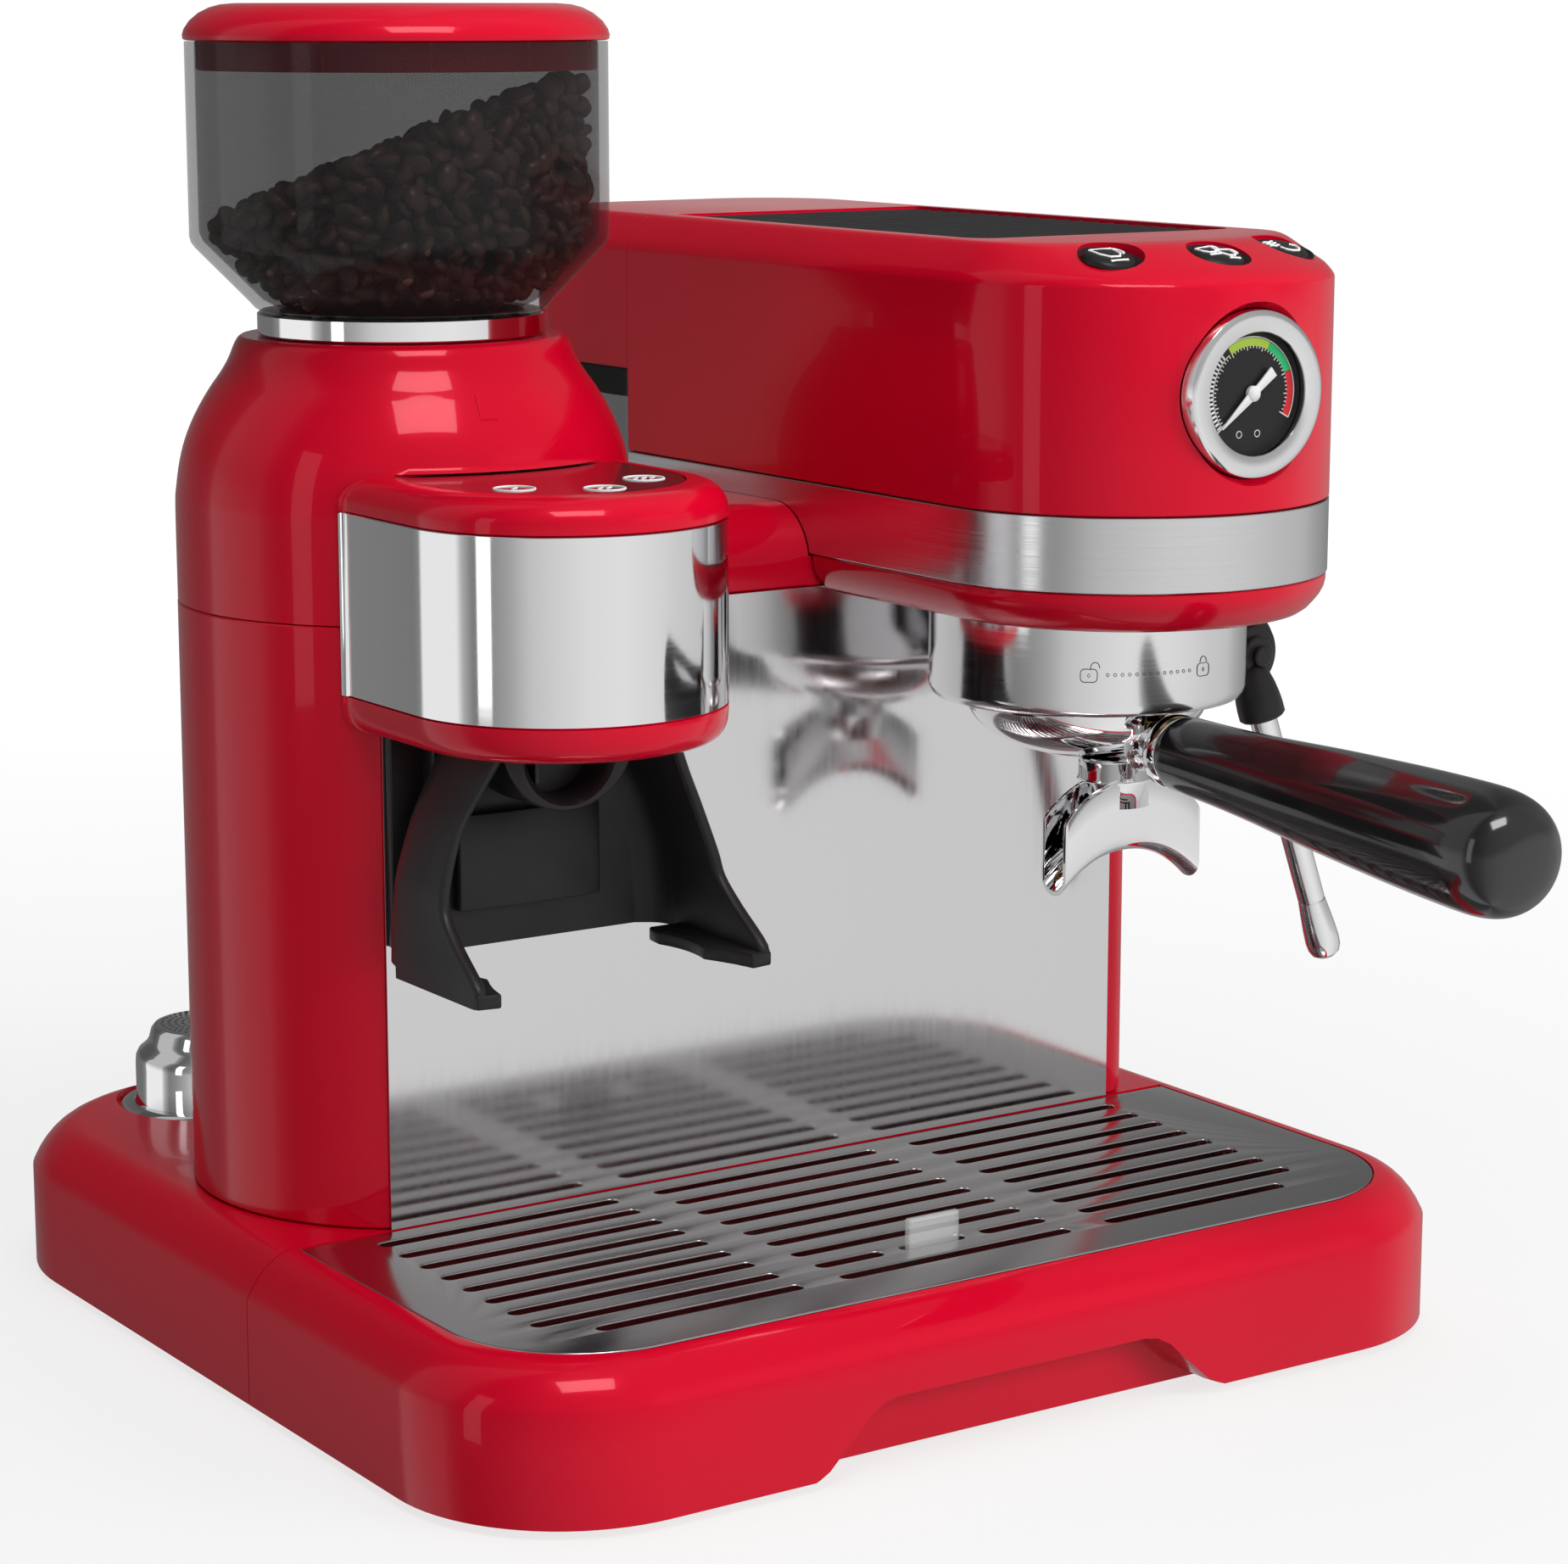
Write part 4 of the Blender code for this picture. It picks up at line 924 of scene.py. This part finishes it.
def cup_icon(cx, cy, s, tall=1.3):
    """Side view of a cup: rim, bowl, handle and saucer, as open lines on the cap."""
    bowl = [(-1.6, 1.0), (-1.5, -0.3), (-0.8, -1.0), (0.4, -1.0), (1.1, -0.3), (1.2, 1.0), (-1.6, 1.0)]
    handle = arc(1.25, 0.3, 0.65, -80, 80, 8)
    saucer = [(-1.3, -1.6), (0.9, -1.6)]
    return [[(cx + u * s, cy + v * s * tall) for u, v in path] for path in (bowl, handle, saucer)]


def steam_icon(s):
    """Three wisps beside a jug."""
    lines = [[(-2.3 * s + 0.26 * s * t, (1.7 - 0.8 * k) * s + 0.18 * s * math.sin(t * 1.3)) for t in range(8)]
             for k in range(3)]
    jug = [(-0.9, -0.6), (-0.6, -1.5), (0.2, -2.0), (1.4, -1.9), (2.0, -1.2), (2.2, -0.2), (1.4, 0.4)]
    return lines + [[(u * s, v * s) for u, v in jug]]


def make_buttons():
    icons = {"button_one_cup": cup_icon(-0.1, 0.8, 2.6),
             "button_two_cups": cup_icon(-2.3, 1.6, 1.7) + cup_icon(2.2, -1.2, 1.7),
             "button_steam": steam_icon(1.95)}
    turn = Matrix.Rotation(math.radians(BUTTON_TILT), 4, "X")
    for node, body in BUTTONS.items():
        at = button_at(node)
        cap = [(0, 1.7), (3, 1.65), (5.2, 1.4), (6.6, 0.95), (7.2, 0.4), (7.45, -0.2), (7.5, -0.8), (7.5, -5),
               (0, -5)]
        key = turned(node + "_cap", cap, BLACK, at, (BUTTON_TILT, 0, 0), 64)
        show(key, body, "black_plastic", node)
        lines = []
        for path in icons[node]:
            points = [at + turn @ Vector((u, v, 1.72 - 0.0004 * (u * u + v * v) ** 2)) for u, v in path]
            lines.append(wire("line", points, 0.36, WHITE))
        show(merge(node + "_icon", lines), body, "white_plastic")
        rim = [(8.9, 0.5), (8.9, -0.3), (8.0, -0.9), (8.0, -0.5), (8.6, 0.25)]
        ring = turned(node + "_ring", rim, BLACK, at, (BUTTON_TILT, 0, 0), 64)
        show(ring, "machine", "black_plastic")


def make_gauge():
    at, aim = (HEAD_X, design("gauge_case")[0][1] + 26, GAUGE_Z), (90, 0, 0)
    rim = [(0, 19.6), (17.3, 19.6), (17.4, 24.7), (16.5, 24.9), (16.4, 25.1), (16.6, 25.4), (17.2, 25.6),
           (20.6, 26), (21.6, 25.8), (22.2, 25.3), (22.5, 24.4), (22.5, 20.8), (20, 20.8), (20, 2), (0, 2)]
    case = turned("gauge_bezel", rim, BRUSHED_BRIGHT, at, aim, 128)
    show(case, "machine", "polished_steel", "gauge_case")
    raised = 1.6
    face_y = design("gauge_dial")[0][1] - raised
    dial = turned("gauge_face", [(0, 22.3), (17.0, 22.3), (17.1, 19.9), (0, 19.9)], BLACK, at, aim, 96)
    show(dial, "machine", "gloss_black", "gauge_dial")

    def on_dial(r, degrees, lift=0.05):
        """0 degrees is straight up and the angle grows clockwise."""
        a = math.radians(degrees)
        return (HEAD_X + r * math.sin(a), face_y - lift, GAUGE_Z + r * math.cos(a))
    start, end = -132, 118
    ticks = []
    for i in range(51):
        a = start + (end - start) * i / 50
        inner = 11.5 if i % 5 == 0 else 12.0
        ticks.append(wire("tick", [on_dial(inner, a), on_dial(12.6, a)], 0.15, WHITE))
        if a < -38 and i:
            ticks.append(wire("grade", [on_dial(13.2, a - 2.5), on_dial(14.5, a - 2.5)], 0.32, WHITE))
    sweep = [start + (end - start) * i / 60 for i in range(61)]
    ticks.append(wire("outer_line", [on_dial(15.0, a) for a in sweep], 0.15, WHITE))
    for a in (start, end):
        ticks.append(wire("end_line", [on_dial(12.2, a), on_dial(15.0, a)], 0.2, WHITE))
    ticks.append(wire("left_line", [on_dial(12.9, a) for a in sweep if a < -33], 0.12, WHITE))
    for dx in (-3.7, 2.6):
        ticks.append(wire("lamp", [(HEAD_X + dx + 0.9 * math.cos(t * 0.393), face_y - 0.05,
                                    GAUGE_Z - 10.8 + 0.9 * math.sin(t * 0.393)) for t in range(16)], 0.12,
                          WHITE, True))
    show(merge("gauge_ticks", ticks), "machine", "white_plastic")

    def sector(name, a0, a1, mat):
        steps = max(4, int((a1 - a0) / 4))
        angles = [a0 + (a1 - a0) * i / steps for i in range(steps + 1)]
        corners = ((12.6, 0.02), (14.7, 0.02), (14.7, 0.1), (12.6, 0.1))
        rings = [[on_dial(r, a, lift) for r, lift in corners] for a in angles]
        show(loft(name, rings, mat), "machine", "white_plastic")
    sector("gauge_zone_low", -33, 26, LIME)
    sector("gauge_zone_good", 26.6, 66.5, GREEN)
    sector("gauge_zone_high", 67, 117.4, DIAL_RED)

    turn = (Matrix.Translation((HEAD_X, design("gauge_needle")[0][1] + 0.7 - raised, GAUGE_Z))
            @ Matrix.Rotation(math.radians(-130), 4, "Y"))
    blade = slab("blade", [(-1.5, -8.8), (1.5, -8.8), (1.0, -1.6), (1.25, 1.6), (0.2, 14.0), (-0.2, 14.0),
                           (-1.25, 1.6), (-1.0, -1.6)], -0.3, 0.3, "Y", WHITE, 0.1, move=turn)
    hub = turned("hub", [(0, 1.1), (1.5, 0.9), (2.1, 0.3), (2.1, -0.8), (0, -0.8)], WHITE,
                 turn.translation, aim, 32)
    show(merge("needle_pointer", [blade, hub]), "needle", "white_plastic", "gauge_needle")
    pane = [(0, 25.2), (12, 25.15), (16.4, 25.0), (16.4, 24.8), (0, 25.0)]
    glass = turned("gauge_window", pane, GLASS, at, aim, 96)
    show(glass, "machine", "clear_plastic", "gauge_lens")


def make_group():
    low, high = design("group_cover")
    R = (high[0] - low[0]) / 2
    at = (*GROUP, 0)
    ring = [(R - 0.5, high[2]), (R, high[2] - 0.5)]
    ring += shifted(R, low[2], [(0, 3.6), (-0.25, 2.2), (-0.9, 0.9), (-1.9, 0.15), (-2.6, 0.1), (-3, 0.8),
                                (-1.5, 2.5)])
    ring += [(R - 1.5, high[2] - 1.6), (38.2, high[2] - 1.5), (38.2, high[2])]
    cover = turned("group_ring", ring, BRUSHED_BRIGHT, at, steps=160)
    show(cover, "machine", "chrome", "group_cover")

    marks = []
    z0 = low[2] + 12.2
    per_mm = math.degrees(1 / R)

    def mark(name, centre, path, width, closed=True):
        """A line on the ring, drawn in millimetres from a centre given in degrees."""
        points = [polar(GROUP, R + 0.03, centre + u * per_mm, z0 + v) for u, v in path]
        marks.append(wire(name, points, width, DARK_MARK, closed))
    first, last = -127.5, -83.0
    dots = 13
    a0, a1 = first + 4.5 * per_mm + 0.8, last - 4.5 * per_mm - 0.8
    for i in range(dots):
        mark("dot", a0 + (a1 - a0) * i / (dots - 1), arc(0, 0, 0.42, 0, 360, 8)[:-1], 0.1)
    for centre, is_open in ((first, True), (last, False)):
        mark("lock", centre, rounded(-2.3, 2.3, -2.0, 1.6, 1.1, 1.1, 4), 0.13)
        shift, swing = (1.7, 200) if is_open else (0.0, 180)
        mark("bow", centre, arc(shift, 1.9, 1.25, swing, 0, 8, 1.6), 0.13, False)
        mark("key", centre, [(0, -0.7), (0.4, -0.2), (0, 0.4), (-0.4, -0.2)], 0.1)
    show(merge("lock_marks", marks), "machine", "black_plastic")


def make_portafilter():
    at = (*GROUP, 0)
    start = (GROUP[0], -97.0, 169.0)
    droop = 3.0
    aim = (90 + droop, 0, 0)
    outer = smooth_profile([(34.7, 181), (34.2, 178), (33, 175.2), (30.6, 172), (26.6, 168.9), (21.4, 166.4),
                            (17, 164.9), (13.4, 163.9)], 3)
    bowl = turned("bowl", [(0, 188.6), (34.7, 188.6)] + outer + [(12.6, 163.5), (0, 163.5)], CHROME, at,
                  steps=128)
    ears = [box("ear", (x - 3.9, GROUP[1] - 8, 183.5), (x + 3.9, GROUP[1] + 8, 187.5), CHROME, 0.5)
            for x in (GROUP[0] - 34, GROUP[0] + 34)]
    neck_profile = [(0, 0.2), (8.9, 0.2), (9.9, -0.4), (10.4, -1.6), (10.4, -4.0), (9.8, -5.4), (8.6, -6.4),
                    (7.2, -7.6), (6.5, -9.4), (6.4, -12), (6.9, -14), (8.2, -15.5), (0, -15.5)]
    neck = turned("neck", neck_profile, CHROME, start, aim, 72)
    carve(bowl, *ears, neck, how="UNION")
    room = turned("room", [(0, 195), (32.4, 195), (32.4, 181), (30.3, 176.5), (28.8, 173), (22, 168.9),
                           (12, 166.6), (3, 166.2), (3, 150), (0, 150)], CHROME, at)
    carve(bowl, room)
    show(bowl, "portafilter", "chrome", "portafilter")

    length = 137.0
    grip = smooth_profile([(10.1, 0.4), (10.6, 1.6), (10.75, 6), (11.2, 20), (12.0, 34), (12.9, 46),
                           (14.1, 62), (15.1, 78), (15.9, 92), (16.5, 106), (16.8, 118), (16.5, 124.5),
                           (15.2, 129.8), (12.6, 133.8), (9.0, 136), (4.6, 136.9)], 4)
    handle = turned("grip", [(0, length)] + grip[::-1] + [(0, 0.4)], BLACK_GLOSS, start, aim, 96)
    show(handle, "portafilter", "gloss_black", "portafilter_grip")
    make_spout()


def spout_ring(u):
    """Ring of (y, z) across the trough at u, from -1 at one end to 1 at the other, with rounded rims."""
    base = 142.1 - 10.5 * abs(u) ** 2.2
    top = 146.7 + 11.6 * max(0.0, 1 - u * u) ** 0.8
    front, rear, wall = -75.0, -64.0, 1.3
    middle_y = (front + rear) / 2
    outer = [(front, top)] + arc(middle_y, base, 5.5, 180, 360, 14, 5.0) + [(rear, top)]
    outer += arc(rear - wall / 2, top, wall / 2, 0, 180, 4)[1:]
    inner = arc(middle_y, base, 4.2, 360, 180, 14, 3.7) + [(front + wall, top)]
    return outer + inner + arc(front + wall / 2, top, wall / 2, 0, 180, 4)[1:-1]


def make_spout():
    """An open trough bent into an arch, with a closed hub and a short stem in its middle."""
    low, high = design("portafilter_spout")
    x, half = (low[0] + high[0]) / 2, (high[0] - low[0]) / 2
    steps = 48
    rings = []
    for i in range(steps + 1):
        u = -math.cos(math.pi * i / steps)
        rings.append([(x + half * u, y, z) for y, z in spout_ring(u)])
    trough = soften(loft("trough", rings, CHROME, 40), 0.35, 2, 55)
    hub = box("hub", (x - 8.8, -74.3, 141), (x + 8.8, -64.7, 157.2), CHROME, 0.8)
    profile = [(0, high[2]), (9.9, high[2]), (10.4, high[2] - 0.5), (10.4, 158.2), (10.8, 157.8),
               (10.8, 156.9), (10.4, 156.5), (10.4, 150), (0, 150)]
    stem = turned("stem", profile, CHROME, (x, -66, 0), steps=56)
    show(merge("twin_spout", [trough, hub, stem]), "portafilter", "chrome", "portafilter_spout")


def make_wand():
    """A rosette in steps, the cone under it, and a plain pipe that ends in a drop-shaped nozzle."""
    pivot = Vector((135.5, -50.8, 185.8))
    top, tip = Vector((138.2, -58.0, 168.5)), Vector((160.5, -64.0, 93.8))
    steps = [(0, 10.6)]
    for i, r in enumerate((3.0, 5.6, 8.2, 10.6)):
        steps += shifted(r, 10.6 - 2.3 * i, [(-0.5, 0), (0, -0.4), (0.1, -1.9), (0.4, -2.2)])
    steps += [(12.0, 1.2), (12.4, 0.6), (12.4, 0), (0, 0)]
    rosette = turned("rosette", steps, BLACK, (pivot.x, pivot.y - 0.3, pivot.z), (90, 0, 0), 72)
    lean = (tip - top).to_track_quat("Z", "Y").to_matrix().to_4x4()

    def along(name, profile, mat, n=64):
        """A turned piece with its axis along the wand, from its top to its tip."""
        obj = turned(name, profile, mat, steps=n)
        back = Matrix.Translation((0, -SPLASH_Y * MM, -WALL_Z * MM))
        forward = Matrix.Translation((0, SPLASH_Y * MM, WALL_Z * MM))
        obj.data.transform(forward @ Matrix.Translation(top * MM) @ lean @ back)
        return obj
    cone = [(0, 1.2), (6.2, 1.2), (6.8, 0.6), (6.8, -2.2), (6.6, -5), (6.1, -8.4), (5.3, -11.6), (4.1, -14.2),
            (2.3, -15.8), (0, -16.3)]
    skirt = along("skirt", cone, BLACK)
    show(merge("wand_joint", [rosette, skirt]), "wand", "black_plastic", "wand_elbow")
    length = (tip - top).length
    seam = length - 18.6
    pipe = [(0, 1.6), (4.0, 1.6)]
    pipe += shifted(0, seam, [(4.0, -0.3), (3.75, -0.1), (3.75, 0.2), (4.05, 0.4), (4.5, 4.5), (4.9, 9),
                              (5.1, 13)])
    pipe += shifted(0, length, [(4.9, -3.2), (4.1, -1.4), (2.6, -0.35), (0, 0)])
    show(along("wand_pipe", pipe[::-1], CHROME, 56), "wand", "chrome", "steam_wand")


# ---------------------------------------------------------------- contents and small trim

def bean_mesh():
    """One bean: rounded back, flatter face with a groove along it. Radii in millimetres."""
    bm = bmesh.new()
    bmesh.ops.create_uvsphere(bm, u_segments=12, v_segments=8, radius=1.0)
    for v in bm.verts:
        y, z, x = v.co
        if z < 0:
            groove = 0.42 * math.exp(-(y / 0.16) ** 2) * (1 - x * x)
            z = z * 0.62 + groove
        v.co = (x * 4.1, y * 3.0, z * 2.5)
    return bm


def make_beans():
    rng = random.Random(7)
    proto = bean_mesh()
    base = [v.co.copy() for v in proto.verts]
    faces = [[v.index for v in f.verts] for f in proto.faces]
    proto.free()
    R = 55.0
    toward_right = Vector((0.83, -0.56))

    def surface(dx, dy):
        lean = 0.40 * (dx * toward_right.x + dy * toward_right.y)
        return min(333 + lean + 2.5 * noise.noise(Vector((dx, dy, 0)) * 0.06), 350.5)

    def reach(z):
        return min(R, 38 + (z - 290.5) * 0.93) if z < 309 else R
    placed, cells = [], {}
    tries = 0
    while tries < 90000 and len(placed) < 2300:
        tries += 1
        z = rng.uniform(293, 352)
        r_max = reach(z) - 4.2
        by_the_wall = rng.random() < 0.7
        r = r_max * math.sqrt(rng.uniform(0.35, 1.0) if by_the_wall else rng.random())
        a = rng.uniform(0, 2 * math.pi)
        dx, dy = r * math.cos(a), r * math.sin(a)
        ceiling = surface(dx, dy)
        if z > ceiling or (r < r_max * 0.72 and z < ceiling - 9):
            continue
        point = Vector((dx, dy, z))
        key = tuple(int(c // 6) for c in point)
        near = [q for i in (-1, 0, 1) for j in (-1, 0, 1) for k in (-1, 0, 1)
                for q in cells.get((key[0] + i, key[1] + j, key[2] + k), ())]
        if any((point - q).length < 4.5 for q in near):
            continue
        cells.setdefault(key, []).append(point)
        placed.append(point)
    verts, polys = [], []
    for point in placed:
        turn = Matrix.Rotation(rng.uniform(0, 6.28), 4, "Z") @ Matrix.Rotation(rng.uniform(0, 6.28), 4, "X")
        turn = Matrix.Rotation(rng.uniform(0, 6.28), 4, "Y") @ turn
        size = rng.uniform(0.86, 1.06)
        start = len(verts)
        centre = Vector((TOWER[0] + point.x, TOWER[1] + point.y, point.z))
        limit = reach(point.z) - 0.4
        for co in base:
            v = centre + turn @ (co * size)
            out = math.hypot(v.x - TOWER[0], v.y - TOWER[1])
            if out > limit:
                v.x = TOWER[0] + (v.x - TOWER[0]) * limit / out
                v.y = TOWER[1] + (v.y - TOWER[1]) * limit / out
            verts.append(v)
        polys += [[start + i for i in f] for f in faces]
    mesh = bpy.data.meshes.new("beans")
    mesh.from_pydata(verts, [], polys)
    beans = adopt("beans", mesh, BEAN, 80)
    show(beans, "hopper", "black_plastic")
    core = []
    for z, share in ((292, 0.55), (300, 0.62), (310, 0.74), (325, 0.74), (340, 0.72)):
        ring = []
        for x, y in arc(0, 0, reach(z) * share, 0, 360, 48)[:-1]:
            ring.append((TOWER[0] + x, TOWER[1] + y, min(z, surface(x, y) - 6)))
        core.append(ring)
    show(loft("bean_core", core, BEAN), "hopper", "black_plastic")


def make_screws():
    low, high = design("back_cover")
    parts = []
    profile = [(0, 1.4), (1.6, 1.3), (2.7, 0.9), (3.3, 0.2), (3.3, -0.3), (0, -0.3)]
    for x in (low[0] + 6, high[0] - 6):
        for z in (low[2] + 7, high[2] - 7):
            parts.append(turned("screw", profile, CAST, (x, high[1], z), (-90, 0, 0), 32))
    show(merge("cover_screws", parts), "machine", "aluminium")


def finish_cad_nodes():
    """The CAD nodes that keep their own shape."""
    finishes = {
        "splash_panel": PANEL, "base_plinth": BLACK, "foot_front_left": RUBBER, "foot_front_right": RUBBER,
        "foot_rear_left": RUBBER, "foot_rear_right": RUBBER, "back_cover": BLACK, "cable_gland": BLACK,
        "power_switch": BLACK_GLOSS, "tank_valve": WHITE, "burr_upper": BURR, "burr_lower": BURR,
        "burr_shaft": BURR, "grinder_motor": CAST, "thermoblock": CAST, "group_head": BRASS,
        "group_gasket": RUBBER, "shower_screen": BRUSHED, "filter_basket": CHROME, "pump": BLACK,
        "pump_plunger": BURR, "hose_pump_boiler": SILICONE, "control_board": BOARD, "wand_mount": BLACK,
    }
    for node, mat in finishes.items():
        mesh = NODES[node].data
        if mesh.materials:
            mesh.materials[0] = mat
        else:
            mesh.materials.append(mat)


# ---------------------------------------------------------------- studio

def area_light(name, at, target, width, height, power, mirrored=False):
    """A soft box; mirrored says whether glossy surfaces show it."""
    data = bpy.data.lights.new(name, "AREA")
    data.shape = "RECTANGLE"
    data.size, data.size_y = width, height
    data.energy = power
    lamp = new_object(name, data)
    lamp.visible_camera = False
    lamp.visible_glossy = mirrored
    lamp.location = at
    lamp.rotation_euler = (Vector(at) - Vector(target)).to_track_quat("Z", "Y").to_euler()


def paper_floor():
    """White paper that glows a little, so that shadows stay light and the far floor melts away."""
    mat = material("floor_paper", (0.17, 0.17, 0.17), 0.9, Specular_IOR_Level=0.0,
                   Emission_Color=(1, 1, 1, 1))
    coords = add_node(mat, "ShaderNodeTexCoord")
    reach = add_node(mat, "ShaderNodeVectorMath", operation="LENGTH")
    link(mat, coords.outputs["Object"], reach.inputs[0])
    path = add_node(mat, "ShaderNodeLightPath")
    glow = add_node(mat, "ShaderNodeMath", operation="MULTIPLY")
    link(mat, map_range(mat, reach.outputs["Value"], 0.76, 1.0, 0.3, 1.7), glow.inputs[0])
    link(mat, map_range(mat, path.outputs["Is Diffuse Ray"], 1.0, 0.40), glow.inputs[1])
    link(mat, glow.outputs[0], shader_of(mat).inputs["Emission Strength"])
    return mat


def make_world():
    """White to the camera; to the object a studio whose brightness changes round the compass.

    The stops give the place round the compass, from 0 at the left through 0.25 in front, and the brightness.
    """
    world = bpy.data.worlds.new("studio")
    world.use_nodes = True
    bpy.context.scene.world = world
    coords = add_node(world, "ShaderNodeTexCoord")
    gradient = add_node(world, "ShaderNodeTexGradient", gradient_type="RADIAL")
    link(world, coords.outputs["Generated"], gradient.inputs["Vector"])
    ramp = add_node(world, "ShaderNodeValToRGB")
    link(world, gradient.outputs["Fac"], ramp.inputs["Fac"])
    stops = [(0.0, 0.24), (0.022, 0.28), (0.067, 0.43), (0.108, 0.65), (0.153, 0.75), (0.214, 0.86),
             (0.28, 0.90), (0.353, 0.82), (0.408, 0.72), (0.478, 0.64), (0.522, 0.45), (0.589, 0.28),
             (0.625, 0.28), (0.655, 0.50), (0.69, 0.22), (0.73, 0.17), (0.82, 0.17), (0.851, 0.28),
             (0.859, 0.97), (0.953, 0.97), (0.967, 0.5), (0.99, 0.24), (1.0, 0.24)]
    elements = ramp.color_ramp.elements
    elements.remove(elements[1])
    for place, value in stops:
        stop = elements.new(place) if place else elements[0]
        stop.color = (value, value, value, 1)
    split = add_node(world, "ShaderNodeSeparateXYZ")
    link(world, coords.outputs["Generated"], split.inputs["Vector"])
    dim = add_node(world, "ShaderNodeVectorMath", operation="SCALE")
    link(world, ramp.outputs["Color"], dim.inputs[0])
    link(world, map_range(world, split.outputs["Z"], 1.0, 0.55, -0.05, 0.15), dim.inputs["Scale"])
    sky = world.node_tree.nodes["Background"]
    link(world, dim.outputs["Vector"], sky.inputs["Color"])
    path = add_node(world, "ShaderNodeLightPath")
    link(world, map_range(world, path.outputs["Is Diffuse Ray"], 1.0, 0.12), sky.inputs["Strength"])
    plain = add_node(world, "ShaderNodeBackground", Color=(1, 1, 1, 1), Strength=1.0)
    mix = add_node(world, "ShaderNodeMixShader")
    link(world, path.outputs["Is Camera Ray"], mix.inputs["Fac"])
    link(world, sky.outputs["Background"], mix.inputs[1])
    link(world, plain.outputs["Background"], mix.inputs[2])
    link(world, mix.outputs["Shader"], world.node_tree.nodes["World Output"].inputs["Surface"])


def make_studio():
    scene = bpy.context.scene
    camera = bpy.data.cameras.new("camera")
    camera.sensor_fit = "HORIZONTAL"
    camera.sensor_width = 36.0
    camera.lens = 92.31
    camera.clip_end = 20
    seat = new_object("camera", camera)
    seat.location = to_frame((-622.67, -939.22, 372.26))
    seat.rotation_euler = (math.radians(90 - 10.98), 0, math.radians(-33.93))
    scene.camera = seat

    mesh = bpy.data.meshes.new("floor")
    reach = 6.0
    corners = [(-reach, -reach, 0), (reach, -reach, 0), (reach, reach, 0), (-reach, reach, 0)]
    mesh.from_pydata(corners, [], [(0, 1, 2, 3)])
    mesh.materials.append(paper_floor())
    floor = new_object("floor", mesh)
    floor.visible_glossy = False

    make_world()
    heart = (0, 0, 0.18)
    area_light("key", (1.0, -1.5, 0.75), heart, 1.0, 0.9, 22)
    area_light("fill_front", (-0.3, -1.8, 0.75), heart, 0.9, 0.9, 6)
    area_light("window", (-0.25, -0.75, 1.45), heart, 0.70, 0.45, 8, mirrored=True)
    area_light("strip_left", (-1.35, -0.15, 0.45), (-0.1, 0, 0.2), 0.25, 1.0, 1.0, mirrored=True)
    area_light("top", (0.1, 0.1, 1.7), heart, 1.5, 1.5, 14)
    area_light("back_right", (0.95, 1.4, 0.62), heart, 1.0, 0.7, 5)
    scene.view_settings.view_transform = "Standard"
    scene.view_settings.look = "None"
    scene.view_settings.exposure = 0.0


make_base()
make_grille()
make_float()
make_stored_basket()
make_body()
make_tank()
make_grinder()
make_drum()
make_chute()
make_fork()
make_head()
make_buttons()
make_gauge()
make_group()
make_portafilter()
make_wand()
make_beans()
make_screws()
finish_cad_nodes()
make_studio()

bpy.context.view_layer.update()
